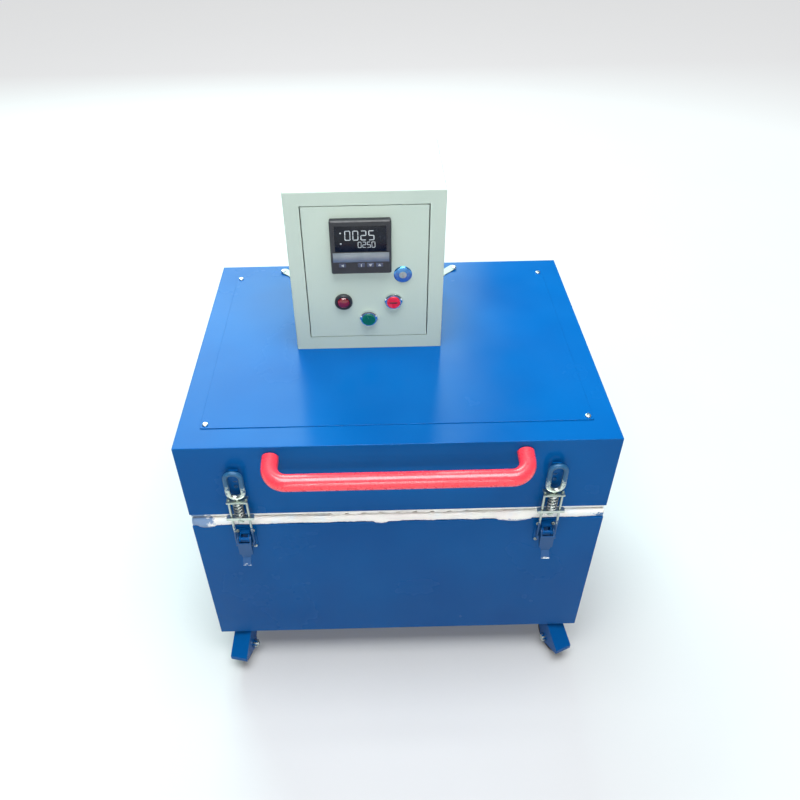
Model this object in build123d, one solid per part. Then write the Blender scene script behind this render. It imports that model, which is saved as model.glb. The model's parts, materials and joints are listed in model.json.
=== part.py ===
from build123d import *
import os
from math import cos, radians, sin

# Top-opening electric pottery kiln on casters, with its control cabinet standing on the lid.
# Millimetres. +Z is up, -Y is the front (handle, latches, cabinet door) and +X is the right side.
# The origin is on the floor, midway between the sides and midway between the front and the rear.

os.makedirs("parts", exist_ok=True)

# ---------------------------------------------------------------- driving dimensions
WIDTH, DEPTH = 680.0, 510.0          # steel casing, outside
BODY_HEIGHT = 320.0                  # lower casing
SEAL_HEIGHT = 30.0                   # fibre that shows between the lower casing and the lid
LID_HEIGHT = 155.0
SHEET = 1.5                          # casing sheet
FIBRE, BRICK = 35.0, 65.0            # lining layers of the walls
FIBRE_BED = 40.0                     # fibre board under the floor bricks
CASTER_HEIGHT = 90.0                 # floor to the underside of the casing
WHEEL_RADIUS, WHEEL_WIDTH = 32.5, 22.0
TRAIL = 20.0                         # caster axle behind its swivel axis
CABINET_WIDTH, CABINET_DEPTH, CABINET_HEIGHT = 250.0, 200.0, 300.0
CABINET_X, CABINET_FRONT = -42.0, -23.0
CABINET_SHEET = 1.2
LATCH_PLACES = (-253.5, 245.0)       # x of the left and the right latch
HANDLE_SPAN, HANDLE_RADIUS = 388.0, 13.0
RUNNING = 0.05                       # radial clearance of pins in their bores
GAP = 0.3                            # clearance between pieces that move past each other
M4_HOLE, M5_HOLE, M8_HOLE = 2.2, 2.7, 4.25     # radii of the screws' clearance holes
BUSHING_HOLE, SHEATH_HOLE = 6.2, 4.3           # radii of the holes for terminals and thermocouple
FOLD_RADIUS = 1.2                    # outside radius of a folded sheet corner
GLAND_BORE = 6.0

# ---------------------------------------------------------------- levels and planes
BODY_Z = CASTER_HEIGHT
RIM_Z = BODY_Z + BODY_HEIGHT
LID_Z = RIM_Z + SEAL_HEIGHT
TOP_Z = LID_Z + LID_HEIGHT
FRONT, REAR, SIDE = -DEPTH / 2, DEPTH / 2, WIDTH / 2
LINING_X, LINING_Y = SIDE - 2 * SHEET, REAR - 2 * SHEET
BRICK_X, BRICK_Y = LINING_X - FIBRE, LINING_Y - FIBRE
CHAMBER_X, CHAMBER_Y = BRICK_X - BRICK, BRICK_Y - BRICK
BED_Z = BODY_Z + 10.0
BRICK_Z = BED_Z + FIBRE_BED
CHAMBER_Z = BRICK_Z + BRICK
RIM_SEAL_TOP = RIM_Z + 18.0
HINGE_Y, HINGE_Z = REAR + 15.0, RIM_Z + SEAL_HEIGHT / 2
GROOVE_LEVELS = [CHAMBER_Z + 35 + 62 * i for i in range(3)]
TERMINAL_X = 30.0
SWIVEL_X, SWIVEL_Y = 296.0, 224.0
CASTERS = {                          # corner: (x, y, angle of the trailing wheel about the swivel)
    "front_left": (-SWIVEL_X, -SWIVEL_Y, -12.0),
    "front_right": (SWIVEL_X, -SWIVEL_Y, 22.0),
    "rear_left": (-SWIVEL_X, SWIVEL_Y, 202.0),
    "rear_right": (SWIVEL_X, SWIVEL_Y, 163.0),
}


# ---------------------------------------------------------------- helpers
def block(x, y, z):
    """Box between (low, high) limits on each axis."""
    size = [high - low for low, high in (x, y, z)]
    centre = [(high + low) / 2 for low, high in (x, y, z)]
    return Pos(*centre) * Box(*size)


def rod(start, end, radius):
    """Round bar from one point to another."""
    start, end = Vector(*start), Vector(*end)
    length = (end - start).length
    upright = (Align.CENTER, Align.CENTER, Align.MIN)
    return Plane(origin=start, z_dir=end - start).location * Cylinder(radius, length, align=upright)


def hex_bar(start, end, across_flats):
    """Hexagonal bar from one point to another."""
    start, end = Vector(*start), Vector(*end)
    outline = RegularPolygon(across_flats / 2, 6, major_radius=False)
    return extrude(Plane(origin=start, z_dir=end - start) * outline, amount=(end - start).length)


def prism_x(points, low, high):
    """Prism along X with a (y, z) outline."""
    face = Plane.YZ * make_face(Polyline(*points, close=True))
    return Pos(low, 0, 0) * extrude(face, amount=high - low)


def folded_block(x, y, z, radius):
    """Box with rounded upright corners and top edges, as folded sheet has."""
    solid = block(x, y, z)
    return fillet(solid.edges().filter_by(Axis.Z) + solid.edges().group_by(Axis.Z)[-1], radius)


def screw(point, outward, shank, length, head=None, head_height=None):
    """Round-head screw: the head stands outward from the point and the shank goes inward."""
    head = head or shank * 1.8
    head_height = head_height or shank * 0.9
    point, outward = Vector(*point), Vector(*outward).normalized()
    top = rod(point, point + outward * head_height, head)
    rim = top.edges().filter_by(GeomType.CIRCLE).sort_by(Axis(point, outward))[-1]
    top = fillet(rim, head_height * 0.7)
    slot = Plane(origin=point + outward * head_height, z_dir=outward).location
    cross = slot * (Box(head * 1.1, head * 0.22, head_height) + Box(head * 0.22, head * 1.1, head_height))
    return top - cross + rod(point, point - outward * length, shank)


def bored(solid, points, direction, radius, depth=12.0):
    """Drill round holes through the points, along the direction both ways."""
    direction = Vector(*direction).normalized() * depth
    for point in points:
        solid -= rod(Vector(*point) - direction, Vector(*point) + direction, radius)
    return solid


def write(node, *pieces):
    """Write the separate solids of one node to its file."""
    solids = [solid for piece in pieces for solid in piece.solids()]
    shape = solids[0] if len(solids) == 1 else Compound(solids)
    export_step(shape, f"parts/{node}.step")


# ---------------------------------------------------------------- fastener places
HINGE_X, HINGE_WIDTH = 230.0, 60.0
STOP_X, STOP_REACH = 165.0, 57.0
COVER_X, COVER_DEPTH, COVER_Z = 120.0, 52.0, (205.0, 385.0)
THERMOCOUPLE = (100.0, 332.0)        # x, z
MAINS_GLAND = (-85.0, REAR + 27.0)   # x, y, in the underside of the terminal cover
LATCH_BASE_Z = (354.0, 406.0)
KEEPER_Z = (504.0, 546.0)
body_hinge_holes = [(s * HINGE_X + dx, REAR, z) for s in (-1, 1) for dx in (-20, 20) for z in (382, 402)]
lid_hinge_holes = [(s * HINGE_X + dx, REAR, z) for s in (-1, 1) for dx in (-20, 20) for z in (458, 486)]
stop_holes = [(s * STOP_X + dx, REAR, z) for s in (-1, 1) for dx in (-9, 9) for z in (372, 400)]
cover_holes = [(s * (COVER_X + 7), REAR, z) for s in (-1, 1) for z in (225, 365)]
latch_holes = [(x + dx, FRONT, z) for x in LATCH_PLACES for dx in (-12.5, 12.5) for z in (360, 400)]
keeper_holes = [(x, FRONT, z) for x in LATCH_PLACES for z in (510, 524)]
HANDLE_FOOT_Z = TOP_Z - 24
handle_holes = [(s * HANDLE_SPAN / 2, FRONT, HANDLE_FOOT_Z) for s in (-1, 1)]
PLATE_X, PLATE_Y = 305.0, 214.0
plate_holes = [(sx * (PLATE_X - 8), sy * (PLATE_Y - 8), TOP_Z) for sx in (-1, 1) for sy in (-1, 1)]
FOOT_REACH = 66.0                    # cabinet foot, from the cabinet's corner to its screw
FOOT_DIRECTION = (cos(radians(44)), sin(radians(44)))
CABINET_SIDES = (CABINET_X - CABINET_WIDTH / 2, CABINET_X + CABINET_WIDTH / 2)
CABINET_REAR = CABINET_FRONT + CABINET_DEPTH
FEET = [(1, CABINET_SIDES[1]), (-1, CABINET_SIDES[0])]
foot_holes = [
    (x + s * FOOT_REACH * FOOT_DIRECTION[0], CABINET_REAR + 6 + FOOT_REACH * FOOT_DIRECTION[1], TOP_Z)
    for s, x in FEET
]
terminal_holes = [(s * TERMINAL_X, REAR, z) for s in (-1, 1) for z in GROOVE_LEVELS]


# ---------------------------------------------------------------- lower casing and lining
def body_shell():
    """Four walls with an inward lip round the top."""
    shell = folded_block((-SIDE, SIDE), (FRONT, REAR), (BODY_Z, RIM_Z), FOLD_RADIUS)
    shell -= block((SHEET - SIDE, SIDE - SHEET), (FRONT + SHEET, REAR - SHEET), (BODY_Z, RIM_Z - SHEET))
    shell -= block((30 - SIDE, SIDE - 30), (FRONT + 30, REAR - 30), (BODY_Z, RIM_Z))
    shell = bored(shell, body_hinge_holes + stop_holes + cover_holes, (0, 1, 0), M5_HOLE)
    shell = bored(shell, latch_holes, (0, 1, 0), M4_HOLE)
    shell = bored(shell, terminal_holes, (0, 1, 0), BUSHING_HOLE)
    return bored(shell, [(THERMOCOUPLE[0], REAR, THERMOCOUPLE[1])], (0, 1, 0), SHEATH_HOLE)


def caster_bolt_places():
    """Swivel plate bolts, four round each caster."""
    return [(x + dx, y + dy) for x, y, _ in CASTERS.values() for dx in (-28, 28) for dy in (-20, 20)]


def bottom_pan():
    """Folded tray that closes the casing and carries the casters."""
    inner_x, inner_y = SIDE - SHEET, REAR - SHEET
    pan = block((-inner_x, inner_x), (-inner_y, inner_y), (BODY_Z, BODY_Z + 20))
    pan -= block((SHEET - inner_x, inner_x - SHEET), (SHEET - inner_y, inner_y - SHEET),
                 (BODY_Z + SHEET, BODY_Z + 20))
    return bored(pan, [(x, y, BODY_Z) for x, y in caster_bolt_places()], (0, 0, 1), M8_HOLE)


def through_wall(solid, radius, thermocouple_radius):
    """Terminal and thermocouple holes through one layer of the rear wall."""
    for x, _, z in terminal_holes:
        solid -= rod((x, CHAMBER_Y, z), (x, REAR, z), radius)
    x, z = THERMOCOUPLE
    return solid - rod((x, CHAMBER_Y - 1, z), (x, REAR, z), thermocouple_radius)


def fibre_backing():
    """Fibre board tray between the casing and the bricks."""
    tray = block((-LINING_X, LINING_X), (-LINING_Y, LINING_Y), (BED_Z, RIM_Z - SHEET))
    tray -= block((-BRICK_X, BRICK_X), (-BRICK_Y, BRICK_Y), (BRICK_Z, RIM_Z))
    return through_wall(tray, BUSHING_HOLE, SHEATH_HOLE)


def brick_walls():
    """Four firebrick walls with heating grooves on their inner faces."""
    height = (CHAMBER_Z, RIM_Z)
    right = block((CHAMBER_X, BRICK_X), (-BRICK_Y, BRICK_Y), height)
    left = block((-BRICK_X, -CHAMBER_X), (-BRICK_Y, BRICK_Y), height)
    front = block((-CHAMBER_X, CHAMBER_X), (-BRICK_Y, -CHAMBER_Y), height)
    rear = block((-CHAMBER_X, CHAMBER_X), (CHAMBER_Y, BRICK_Y), height)
    walls = [right, left, front, through_wall(rear, BUSHING_HOLE, SHEATH_HOLE)]
    depth, half = 14.0, 7.0
    for level in GROOVE_LEVELS:
        groove = block((-CHAMBER_X - depth, CHAMBER_X + depth), (-CHAMBER_Y - depth, CHAMBER_Y + depth),
                       (level - half, level + half))
        walls = [wall - groove for wall in walls]
    return walls


def brick_floor():
    return block((-BRICK_X, BRICK_X), (-BRICK_Y, BRICK_Y), (BRICK_Z, CHAMBER_Z))


def rim_seal():
    """Fibre strip laid round the top of the walls, which the lid lining presses on."""
    outer = block((-SIDE + 2, SIDE - 2), (FRONT + 2, REAR - 2), (RIM_Z, RIM_SEAL_TOP))
    return outer - block((-CHAMBER_X - 12, CHAMBER_X + 12), (-CHAMBER_Y - 12, CHAMBER_Y + 12),
                         (RIM_Z, RIM_SEAL_TOP))


def heating_elements():
    """One wound element per groove level, drawn as its outer envelope, with its two terminal rods."""
    run_x, run_y, wind, lead = CHAMBER_X + 6, CHAMBER_Y + 6, 5.0, 3.0
    tail_y, end_y = CHAMBER_Y + 24, REAR + 36
    elements = []
    for level in GROOVE_LEVELS:
        route = [(TERMINAL_X, tail_y), (TERMINAL_X, run_y), (run_x, run_y), (run_x, -run_y),
                 (-run_x, -run_y), (-run_x, run_y), (-TERMINAL_X, run_y), (-TERMINAL_X, tail_y)]
        path = FilletPolyline(*[(x, y, level) for x, y in route], radius=10)
        section = Plane(origin=path @ 0, z_dir=path % 0) * Circle(wind)
        element = sweep(section, path=path)
        for side in (-1, 1):
            x = side * TERMINAL_X
            element += rod((x, tail_y, level), (x, end_y, level), lead)
            element += hex_bar((x, end_y - 16, level), (x, end_y - 10, level), 10)
            element += hex_bar((x, end_y - 9, level), (x, end_y - 4, level), 10)
        elements.append(element)
    return elements


def terminal_bushings():
    """Ceramic tubes with a collar outside the rear wall, one round each terminal rod."""
    bushings = []
    for x, _, z in terminal_holes:
        tube = rod((x, CHAMBER_Y + 25, z), (x, REAR + 12, z), 6.0) + rod((x, REAR, z), (x, REAR + 5, z), 9.0)
        bushings.append(tube - rod((x, CHAMBER_Y, z), (x, REAR + 20, z), 3.1))
    return bushings


def thermocouple():
    """Ceramic-sheathed thermocouple with its terminal head outside the rear wall."""
    x, z = THERMOCOUPLE
    sheath = rod((x, CHAMBER_Y - 42, z), (x, REAR + 2, z), 4.0)
    tip = sheath.edges().sort_by(Axis.Y)[0]
    head = rod((x, REAR + 2, z), (x, REAR + 30, z), 14.0) + rod((x, REAR, z), (x, REAR + 2, z), 11.0)
    return fillet(tip, 3.0) + head + hex_bar((x, REAR + 30, z), (x, REAR + 36, z), 12)


def terminal_cover():
    """Vented folded cover over the rear terminals, with side flanges and a cable hole below."""
    low, high = COVER_Z
    back = REAR + COVER_DEPTH
    cover = block((-COVER_X, COVER_X), (REAR, back), COVER_Z)
    cover -= block((SHEET - COVER_X, COVER_X - SHEET), (REAR, back - SHEET), (low + SHEET, high - SHEET))
    for side in (-1, 1):
        edge = sorted((side * (COVER_X - SHEET), side * (COVER_X + 14)))
        cover += block(edge, (REAR, REAR + SHEET), COVER_Z)
    for column in (-72, 0, 72):
        for row in range(6):
            z = low + 50 + row * 16
            cover -= block((column - 27, column + 27), (back - 5, back + 5), (z, z + 5))
    cover = bored(cover, cover_holes, (0, 1, 0), M5_HOLE)
    return bored(cover, [(MAINS_GLAND[0], MAINS_GLAND[1], low)], (0, 0, 1), 10.2, 5)


def cable_gland(wall, outward, sheet):
    """Nylon gland through a sheet wall: lock nut inside, hexagon and dome nut outside, cable bore."""
    wall, outward = Vector(*wall), Vector(*outward)

    def along(distance):
        return wall + outward * distance

    gland = rod(along(-sheet - 9), along(0), 10.0)
    gland += hex_bar(along(-sheet - 6), along(-sheet), 26)
    gland += hex_bar(along(0), along(6), 25)
    dome = rod(along(6), along(22), 11.5)
    rim = dome.edges().filter_by(GeomType.CIRCLE).sort_by(Axis(along(0), outward))[-1]
    gland += fillet(rim, 4.0)
    return gland - rod(along(-sheet - 12), along(26), GLAND_BORE)


# ---------------------------------------------------------------- hinges and stops at the rear
LEAF, KNUCKLE_RADIUS, HINGE_PIN = 3.0, 7.0, 3.5
KNUCKLE_SPLIT = 10.0
STOP_PAD = 8.0                       # thickness of the rubber pads
LID_REAR_OPEN = HINGE_Z + HINGE_Y - REAR       # height of the lid's rear wall when it is fully open
STOP_TOP = LID_REAR_OPEN - 0.5


def hinge_leaf(z_low, z_high, arm_low, knuckles, holes):
    """Flat leaf on the rear wall whose knuckles stand off on short arms."""
    leaf = block((-HINGE_WIDTH / 2, HINGE_WIDTH / 2), (REAR, REAR + LEAF), (z_low, z_high))
    for low, high in knuckles:
        leaf += block((low, high), (REAR, HINGE_Y), (arm_low, arm_low + 4))
        leaf += rod((low, HINGE_Y, HINGE_Z), (high, HINGE_Y, HINGE_Z), KNUCKLE_RADIUS)
    leaf -= rod((-40, HINGE_Y, HINGE_Z), (40, HINGE_Y, HINGE_Z), HINGE_PIN + RUNNING)
    leaves = [Pos(side * HINGE_X, 0, 0) * leaf for side in (-1, 1)]
    return [bored(one, holes, (0, 1, 0), M5_HOLE) for one in leaves]


def body_hinge_leaves():
    outer = [(-HINGE_WIDTH / 2, -KNUCKLE_SPLIT), (KNUCKLE_SPLIT, HINGE_WIDTH / 2)]
    return hinge_leaf(RIM_Z - 38, HINGE_Z - 3, HINGE_Z - 7, outer, body_hinge_holes)


def lid_hinge_leaves():
    middle = [(GAP - KNUCKLE_SPLIT, KNUCKLE_SPLIT - GAP)]
    return hinge_leaf(HINGE_Z + 3, LID_Z + 60, HINGE_Z + 3, middle, lid_hinge_holes)


def lid_stop_brackets():
    """Gusseted brackets that hold the opened lid by its rear wall."""
    top = STOP_TOP - STOP_PAD
    bracket = block((-15, 15), (REAR, REAR + 4), (358, top))
    bracket += block((-15, 15), (REAR, REAR + STOP_REACH), (top - 4, top))
    bracket += prism_x([(REAR + 4, 362), (REAR + 50, top - 4), (REAR + 4, top - 4)], -2, 2)
    brackets = [Pos(side * STOP_X, 0, 0) * bracket for side in (-1, 1)]
    return [bored(one, stop_holes, (0, 1, 0), M5_HOLE) for one in brackets]


def lid_stop_pads():
    """Round rubber buffers on the stop brackets."""
    y = REAR + STOP_REACH - 14
    pads = []
    for side in (-1, 1):
        pad = rod((side * STOP_X, y, STOP_TOP - STOP_PAD), (side * STOP_X, y, STOP_TOP), 10.0)
        pads.append(chamfer(pad.edges().sort_by(Axis.Z)[-1], 1.5))
    return pads


def hinge_pins():
    """Two lid hinge pins and the two short pins of the cabinet door."""
    pins = []
    for side in (-1, 1):
        x = side * HINGE_X
        pin = rod((x - 32, HINGE_Y, HINGE_Z), (x + 32, HINGE_Y, HINGE_Z), HINGE_PIN)
        pins.append(pin + rod((x + 30.5, HINGE_Y, HINGE_Z), (x + 33.5, HINGE_Y, HINGE_Z), 5.5))
    x, y = DOOR_PIVOT
    for low, high in (DOOR_FRAME_Z[0] - 4, DOOR_FRAME_Z[0] + 8), (DOOR_FRAME_Z[1] - 8, DOOR_FRAME_Z[1] + 4):
        pins.append(rod((x, y, low), (x, y, high), DOOR_PIN))
    return pins


# ---------------------------------------------------------------- toggle latches on the front
LEVER_PIVOT = (16.0, 396.0)          # distance in front of the casing, height
BAIL_PIVOT = (13.0, 380.0)
LEVER_PIN, BAIL_PIN = 2.5, 2.0
BAIL_HALF = 14.0                     # bail rods, each side of the latch's middle
BRIDGE_HALF, BRIDGE_Z = 16.5, (488.0, 491.0)
CROSSBAR_Z = (444.0, 450.0)
EYE_CENTRE, EYE_WIRE = 524.0, 4.0
EYE_HALF_WIDTH, EYE_HALF_HEIGHT = 12.0, 27.25  # to the middle of the wire
SPRING_RADIUS, SPRING_WIRE, SPRING_TURNS = 7.3, 1.2, 5.0


def at(out, height, across=0.0):
    """Point of a latch: distance in front of the casing, height, and offset across."""
    return (across, FRONT - out, height)


def latch_base():
    """Plate with two ears that hold the lever's riveted pin."""
    base = block((-17, 17), (FRONT - 2, FRONT), LATCH_BASE_Z)
    out, height = LEVER_PIVOT
    for low, high in ((-8, -6), (6, 8)):
        ear = rod(at(out, height, low), at(out, height, high), 5.0)
        web = [(FRONT - 2, 384), (FRONT - 2, 401), (FRONT - out, 401), (FRONT - out, 391)]
        ear += prism_x(web, low, high)
        base += ear
    base += block((-8, 8), (FRONT - 10, FRONT - 2), (401, 403))
    base -= rod(at(out, height, -20), at(out, height, 20), LEVER_PIN)
    pin = rod(at(out, height, -11.4), at(out, height, 11.4), LEVER_PIN)
    return base, pin


def latch_lever():
    """Folded lever: two cheeks outside the ears joined by a thumb plate with a turned-out tip."""
    pivot_out, pivot_z = LEVER_PIVOT
    bail_out, bail_z = BAIL_PIVOT
    outline = Polyline((-11, 392), (-11, 374), (-6.5, 356), (6.5, 356), (11, 374), (11, 392), close=True)
    lever = Pos(0, FRONT - 21.5, 0) * extrude(Plane.XZ * make_face(outline), amount=2)
    tip = [(FRONT - 21.5, 356), (FRONT - 23.5, 357), (FRONT - 32, 345.5), (FRONT - 30.4, 344.2)]
    lever += prism_x(tip, -6.5, 6.5)
    for low, high in ((-11, -9), (9, 11)):
        cheek = rod(at(pivot_out, pivot_z, low), at(pivot_out, pivot_z, high), 6.5)
        cheek += rod(at(bail_out, bail_z, low), at(bail_out, bail_z, high), 5.0)
        outline = [(FRONT - 9.6, 397), (FRONT - 8.2, 379), (FRONT - 14, 374.6), (FRONT - 21.5, 364),
                   (FRONT - 23.5, 364), (FRONT - 23.5, 392), (FRONT - 21, 399)]
        lever += cheek + prism_x(outline, low, high)
    lever -= rod(at(pivot_out, pivot_z, -20), at(pivot_out, pivot_z, 20), LEVER_PIN + RUNNING)
    return lever - rod(at(bail_out, bail_z, -20), at(bail_out, bail_z, 20), BAIL_PIN + RUNNING)


def latch_bail():
    """Two rods joined by a bridge plate at the top and by the pin in the lever at the foot."""
    out, foot = BAIL_PIVOT
    bail = rod(at(out, foot, -BAIL_HALF), at(out, foot, BAIL_HALF), BAIL_PIN)
    for side in (-1, 1):
        bail += rod(at(out, foot, side * BAIL_HALF), at(out, BRIDGE_Z[1] + 3, side * BAIL_HALF), BAIL_PIN)
        bail += rod(at(out, foot, side * (BAIL_HALF - 1.9)), at(out, foot, side * (BAIL_HALF + 1.9)), 4.2)
    bail += block((-BRIDGE_HALF, BRIDGE_HALF), (FRONT - out - 7, FRONT - out + 7), BRIDGE_Z)
    return bail - rod(at(out, BRIDGE_Z[0] - 1), at(out, BRIDGE_Z[1] + 1), 3.3)


def latch_eye():
    """Long welded eye on a shank that runs through the bridge and ends in a crossbar and nut."""
    out = BAIL_PIVOT[0]
    straight = EYE_HALF_HEIGHT - EYE_HALF_WIDTH
    top, foot = EYE_CENTRE + straight, EYE_CENTRE - straight
    ring = Wire([
        Line(at(out, foot, -EYE_HALF_WIDTH), at(out, top, -EYE_HALF_WIDTH)),
        ThreePointArc(at(out, top, -EYE_HALF_WIDTH), at(out, EYE_CENTRE + EYE_HALF_HEIGHT),
                      at(out, top, EYE_HALF_WIDTH)),
        Line(at(out, top, EYE_HALF_WIDTH), at(out, foot, EYE_HALF_WIDTH)),
        ThreePointArc(at(out, foot, EYE_HALF_WIDTH), at(out, EYE_CENTRE - EYE_HALF_HEIGHT),
                      at(out, foot, -EYE_HALF_WIDTH)),
    ])
    eye = sweep(Plane(origin=ring @ 0, z_dir=ring % 0) * Circle(EYE_WIRE), path=ring)
    crossbar = block((-22, 22), (FRONT - out - 4, FRONT - out + 4), CROSSBAR_Z)
    crossbar = fillet(crossbar.edges().filter_by(Axis.Y), 2.4)
    for side in (-1, 1):
        x = side * BAIL_HALF
        crossbar -= rod(at(out, CROSSBAR_Z[0] - 1, x), at(out, CROSSBAR_Z[1] + 1, x), BAIL_PIN + GAP)
    eye += rod(at(out, CROSSBAR_Z[0] - 7), at(out, EYE_CENTRE - EYE_HALF_HEIGHT), 3.0) + crossbar
    return eye + hex_bar(at(out, CROSSBAR_Z[0] - 5), at(out, CROSSBAR_Z[0]), 10)


def latch_spring():
    """Compression spring round the shank, between the crossbar and the bridge."""
    low, high = CROSSBAR_Z[1] + SPRING_WIRE + GAP, BRIDGE_Z[0] - SPRING_WIRE - GAP
    path = Helix(pitch=(high - low) / SPRING_TURNS, height=high - low, radius=SPRING_RADIUS,
                 center=at(BAIL_PIVOT[0], low))
    return sweep(Plane(origin=path @ 0, z_dir=path % 0) * Circle(SPRING_WIRE), path=path, is_frenet=True)


def latch_keeper():
    """Hook plate on the lid, behind the eye's opening."""
    high = KEEPER_Z[1]
    keeper = block((-7, 7), (FRONT - 2, FRONT), KEEPER_Z)
    keeper += block((-5.5, 5.5), (FRONT - 8.5, FRONT - 2), (high - 16, high - 13))
    keeper += block((-5.5, 5.5), (FRONT - 8.5, FRONT - 6.2), (high - 16, high))
    return keeper


def latch_pair(piece):
    """The same latch piece on the left and on the right."""
    return [Pos(x, 0, 0) * piece for x in LATCH_PLACES]


# ---------------------------------------------------------------- casters
AXLE_Z = WHEEL_RADIUS
AXLE_BOLT = 4.0
LEG_IN, LEG_OUT = 13.2, 16.2


def placed(corner, piece):
    """Turn a caster piece to its resting angle and move it to its corner."""
    x, y, angle = CASTERS[corner]
    return Pos(x, y, 0) * Rot(0, 0, angle) * piece


def caster_plate():
    """Top plate with the upper ball race and the king pin riveted below the fork."""
    top = BODY_Z
    plate = block((-36, 36), (-28, 28), (top - 3, top))
    plate = fillet(plate.edges().filter_by(Axis.Z), 5)
    plate += rod((0, 0, top - 9), (0, 0, top - 3), 24.0)
    plate += rod((0, 0, top - 18), (0, 0, top - 9), 5.0) + rod((0, 0, top - 18), (0, 0, top - 15.2), 9.0)
    return bored(plate, [(dx, dy, top) for dx in (-28, 28) for dy in (-20, 20)], (0, 0, 1), M8_HOLE)


def caster_fork():
    """Pressed fork: swivel disc, two legs and a hood over the trailing side of the wheel."""
    top = BODY_Z - 9.5
    axle = (-TRAIL, AXLE_Z)
    hood = [(-22, top), (-TRAIL - 41, 46), (-TRAIL - 41, 36)]
    inner = [(-TRAIL - 38.5, 36), (-TRAIL - 38.5, 45), (-22, top - 3.6)]
    leg = [(20, top), *hood, (-TRAIL - 12, AXLE_Z - 9), (-TRAIL + 13, AXLE_Z + 3), (16, top - 12)]
    fork = rod((0, 0, top - 4.5), (0, 0, top), 22.0)
    for low, high in ((-LEG_OUT, -LEG_IN), (LEG_IN, LEG_OUT)):
        fork += prism_x(leg, low, high) + rod((low, *axle), (high, *axle), 13.5)
    fork += prism_x(hood + inner, -LEG_OUT, LEG_OUT)
    fork -= rod((0, 0, top - 10), (0, 0, top + 1), 5.0 + GAP)
    return fork - rod((-30, *axle), (30, *axle), AXLE_BOLT + RUNNING)


def caster_axle():
    """Axle bolt through the fork legs, with its nut."""
    axle = (-TRAIL, AXLE_Z)
    bolt = rod((-LEG_OUT, *axle), (LEG_OUT + 10, *axle), AXLE_BOLT)
    bolt += hex_bar((-LEG_OUT - 5.3, *axle), (-LEG_OUT, *axle), 13)
    return bolt + hex_bar((LEG_OUT, *axle), (LEG_OUT + 7, *axle), 13)


def caster_wheel():
    """Rubber-tyred wheel with a wider hub."""
    axle = (-TRAIL, AXLE_Z)
    tyre = rod((-WHEEL_WIDTH / 2, *axle), (WHEEL_WIDTH / 2, *axle), WHEEL_RADIUS)
    tyre = fillet(tyre.edges().filter_by(GeomType.CIRCLE), 5.0)
    dish = rod((WHEEL_WIDTH / 2 - 4, *axle), (WHEEL_WIDTH / 2, *axle), 22.0)
    wheel = tyre - dish - mirror(dish, Plane.YZ)
    wheel += rod((-LEG_IN + 0.5, *axle), (LEG_IN - 0.5, *axle), 9.0)
    return wheel - rod((-20, *axle), (20, *axle), AXLE_BOLT + RUNNING)


def caster_bolts():
    """Hexagon bolts up through the plates and the pan, with their nuts."""
    bolts = []
    for x, y in caster_bolt_places():
        low = BODY_Z - 3
        bolt = rod((x, y, low - 5), (x, y, BED_Z - 1), 4.0)
        bolt += hex_bar((x, y, low - 5), (x, y, low), 13)
        bolts.append(bolt + hex_bar((x, y, BODY_Z + SHEET), (x, y, BODY_Z + SHEET + 6.5), 13))
    return bolts


# ---------------------------------------------------------------- lid
def lid_shell():
    """Four walls with a wide inward flange round the top."""
    flange_z = TOP_Z - 2 * SHEET
    shell = folded_block((-SIDE, SIDE), (FRONT, REAR), (LID_Z, TOP_Z - SHEET), FOLD_RADIUS)
    shell -= block((SHEET - SIDE, SIDE - SHEET), (FRONT + SHEET, REAR - SHEET), (LID_Z, flange_z))
    shell -= block((50 - SIDE, SIDE - 50), (FRONT + 60, REAR - 60), (LID_Z, TOP_Z))
    shell = bored(shell, lid_hinge_holes, (0, 1, 0), M5_HOLE)
    shell = bored(shell, keeper_holes, (0, 1, 0), M4_HOLE)
    shell = bored(shell, handle_holes, (0, 1, 0), M8_HOLE)
    return bored(shell, plate_holes + foot_holes, (0, 0, 1), M5_HOLE)


def lid_top_plate():
    """Cover plate screwed on the lid's top flange."""
    plate = block((-PLATE_X, PLATE_X), (-PLATE_Y, PLATE_Y), (TOP_Z - SHEET, TOP_Z))
    plate = fillet(plate.edges().filter_by(Axis.Z), 3)
    plate = fillet(plate.edges().group_by(Axis.Z)[-1], 0.6)
    return bored(plate, plate_holes, (0, 0, 1), M5_HOLE)


def lid_lining():
    """Six fibre modules that fill the lid and stand a little below its edge."""
    columns, rows = 3, 2
    half_x, half_y = SIDE - 2, REAR - 2
    width, depth = 2 * half_x / columns, 2 * half_y / rows
    modules = []
    for i in range(columns):
        for j in range(rows):
            x, y = -half_x + i * width, -half_y + j * depth
            modules.append(block((x + 0.1, x + width - 0.1), (y + 0.1, y + depth - 0.1),
                                 (RIM_SEAL_TOP + GAP, LID_Z + 110)))
    return modules


def lid_handle():
    """Round grip on two legs, bent from one bar, with a threaded hole in each foot."""
    out, bend, height = 44.0, 27.0, TOP_Z - 32
    half = HANDLE_SPAN / 2
    route = [(-half, FRONT, HANDLE_FOOT_Z), (-half, FRONT - out, height), (half, FRONT - out, height),
             (half, FRONT, HANDLE_FOOT_Z)]
    path = FilletPolyline(*route, radius=bend)
    handle = sweep(Plane(origin=path @ 0, z_dir=path % 0) * Circle(HANDLE_RADIUS), path=path)
    handle = split(handle, Plane(origin=(0, FRONT, 0), z_dir=(0, -1, 0)), keep=Keep.TOP)
    return bored(handle, handle_holes, (0, 1, 0), 4.0, 14)


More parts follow.
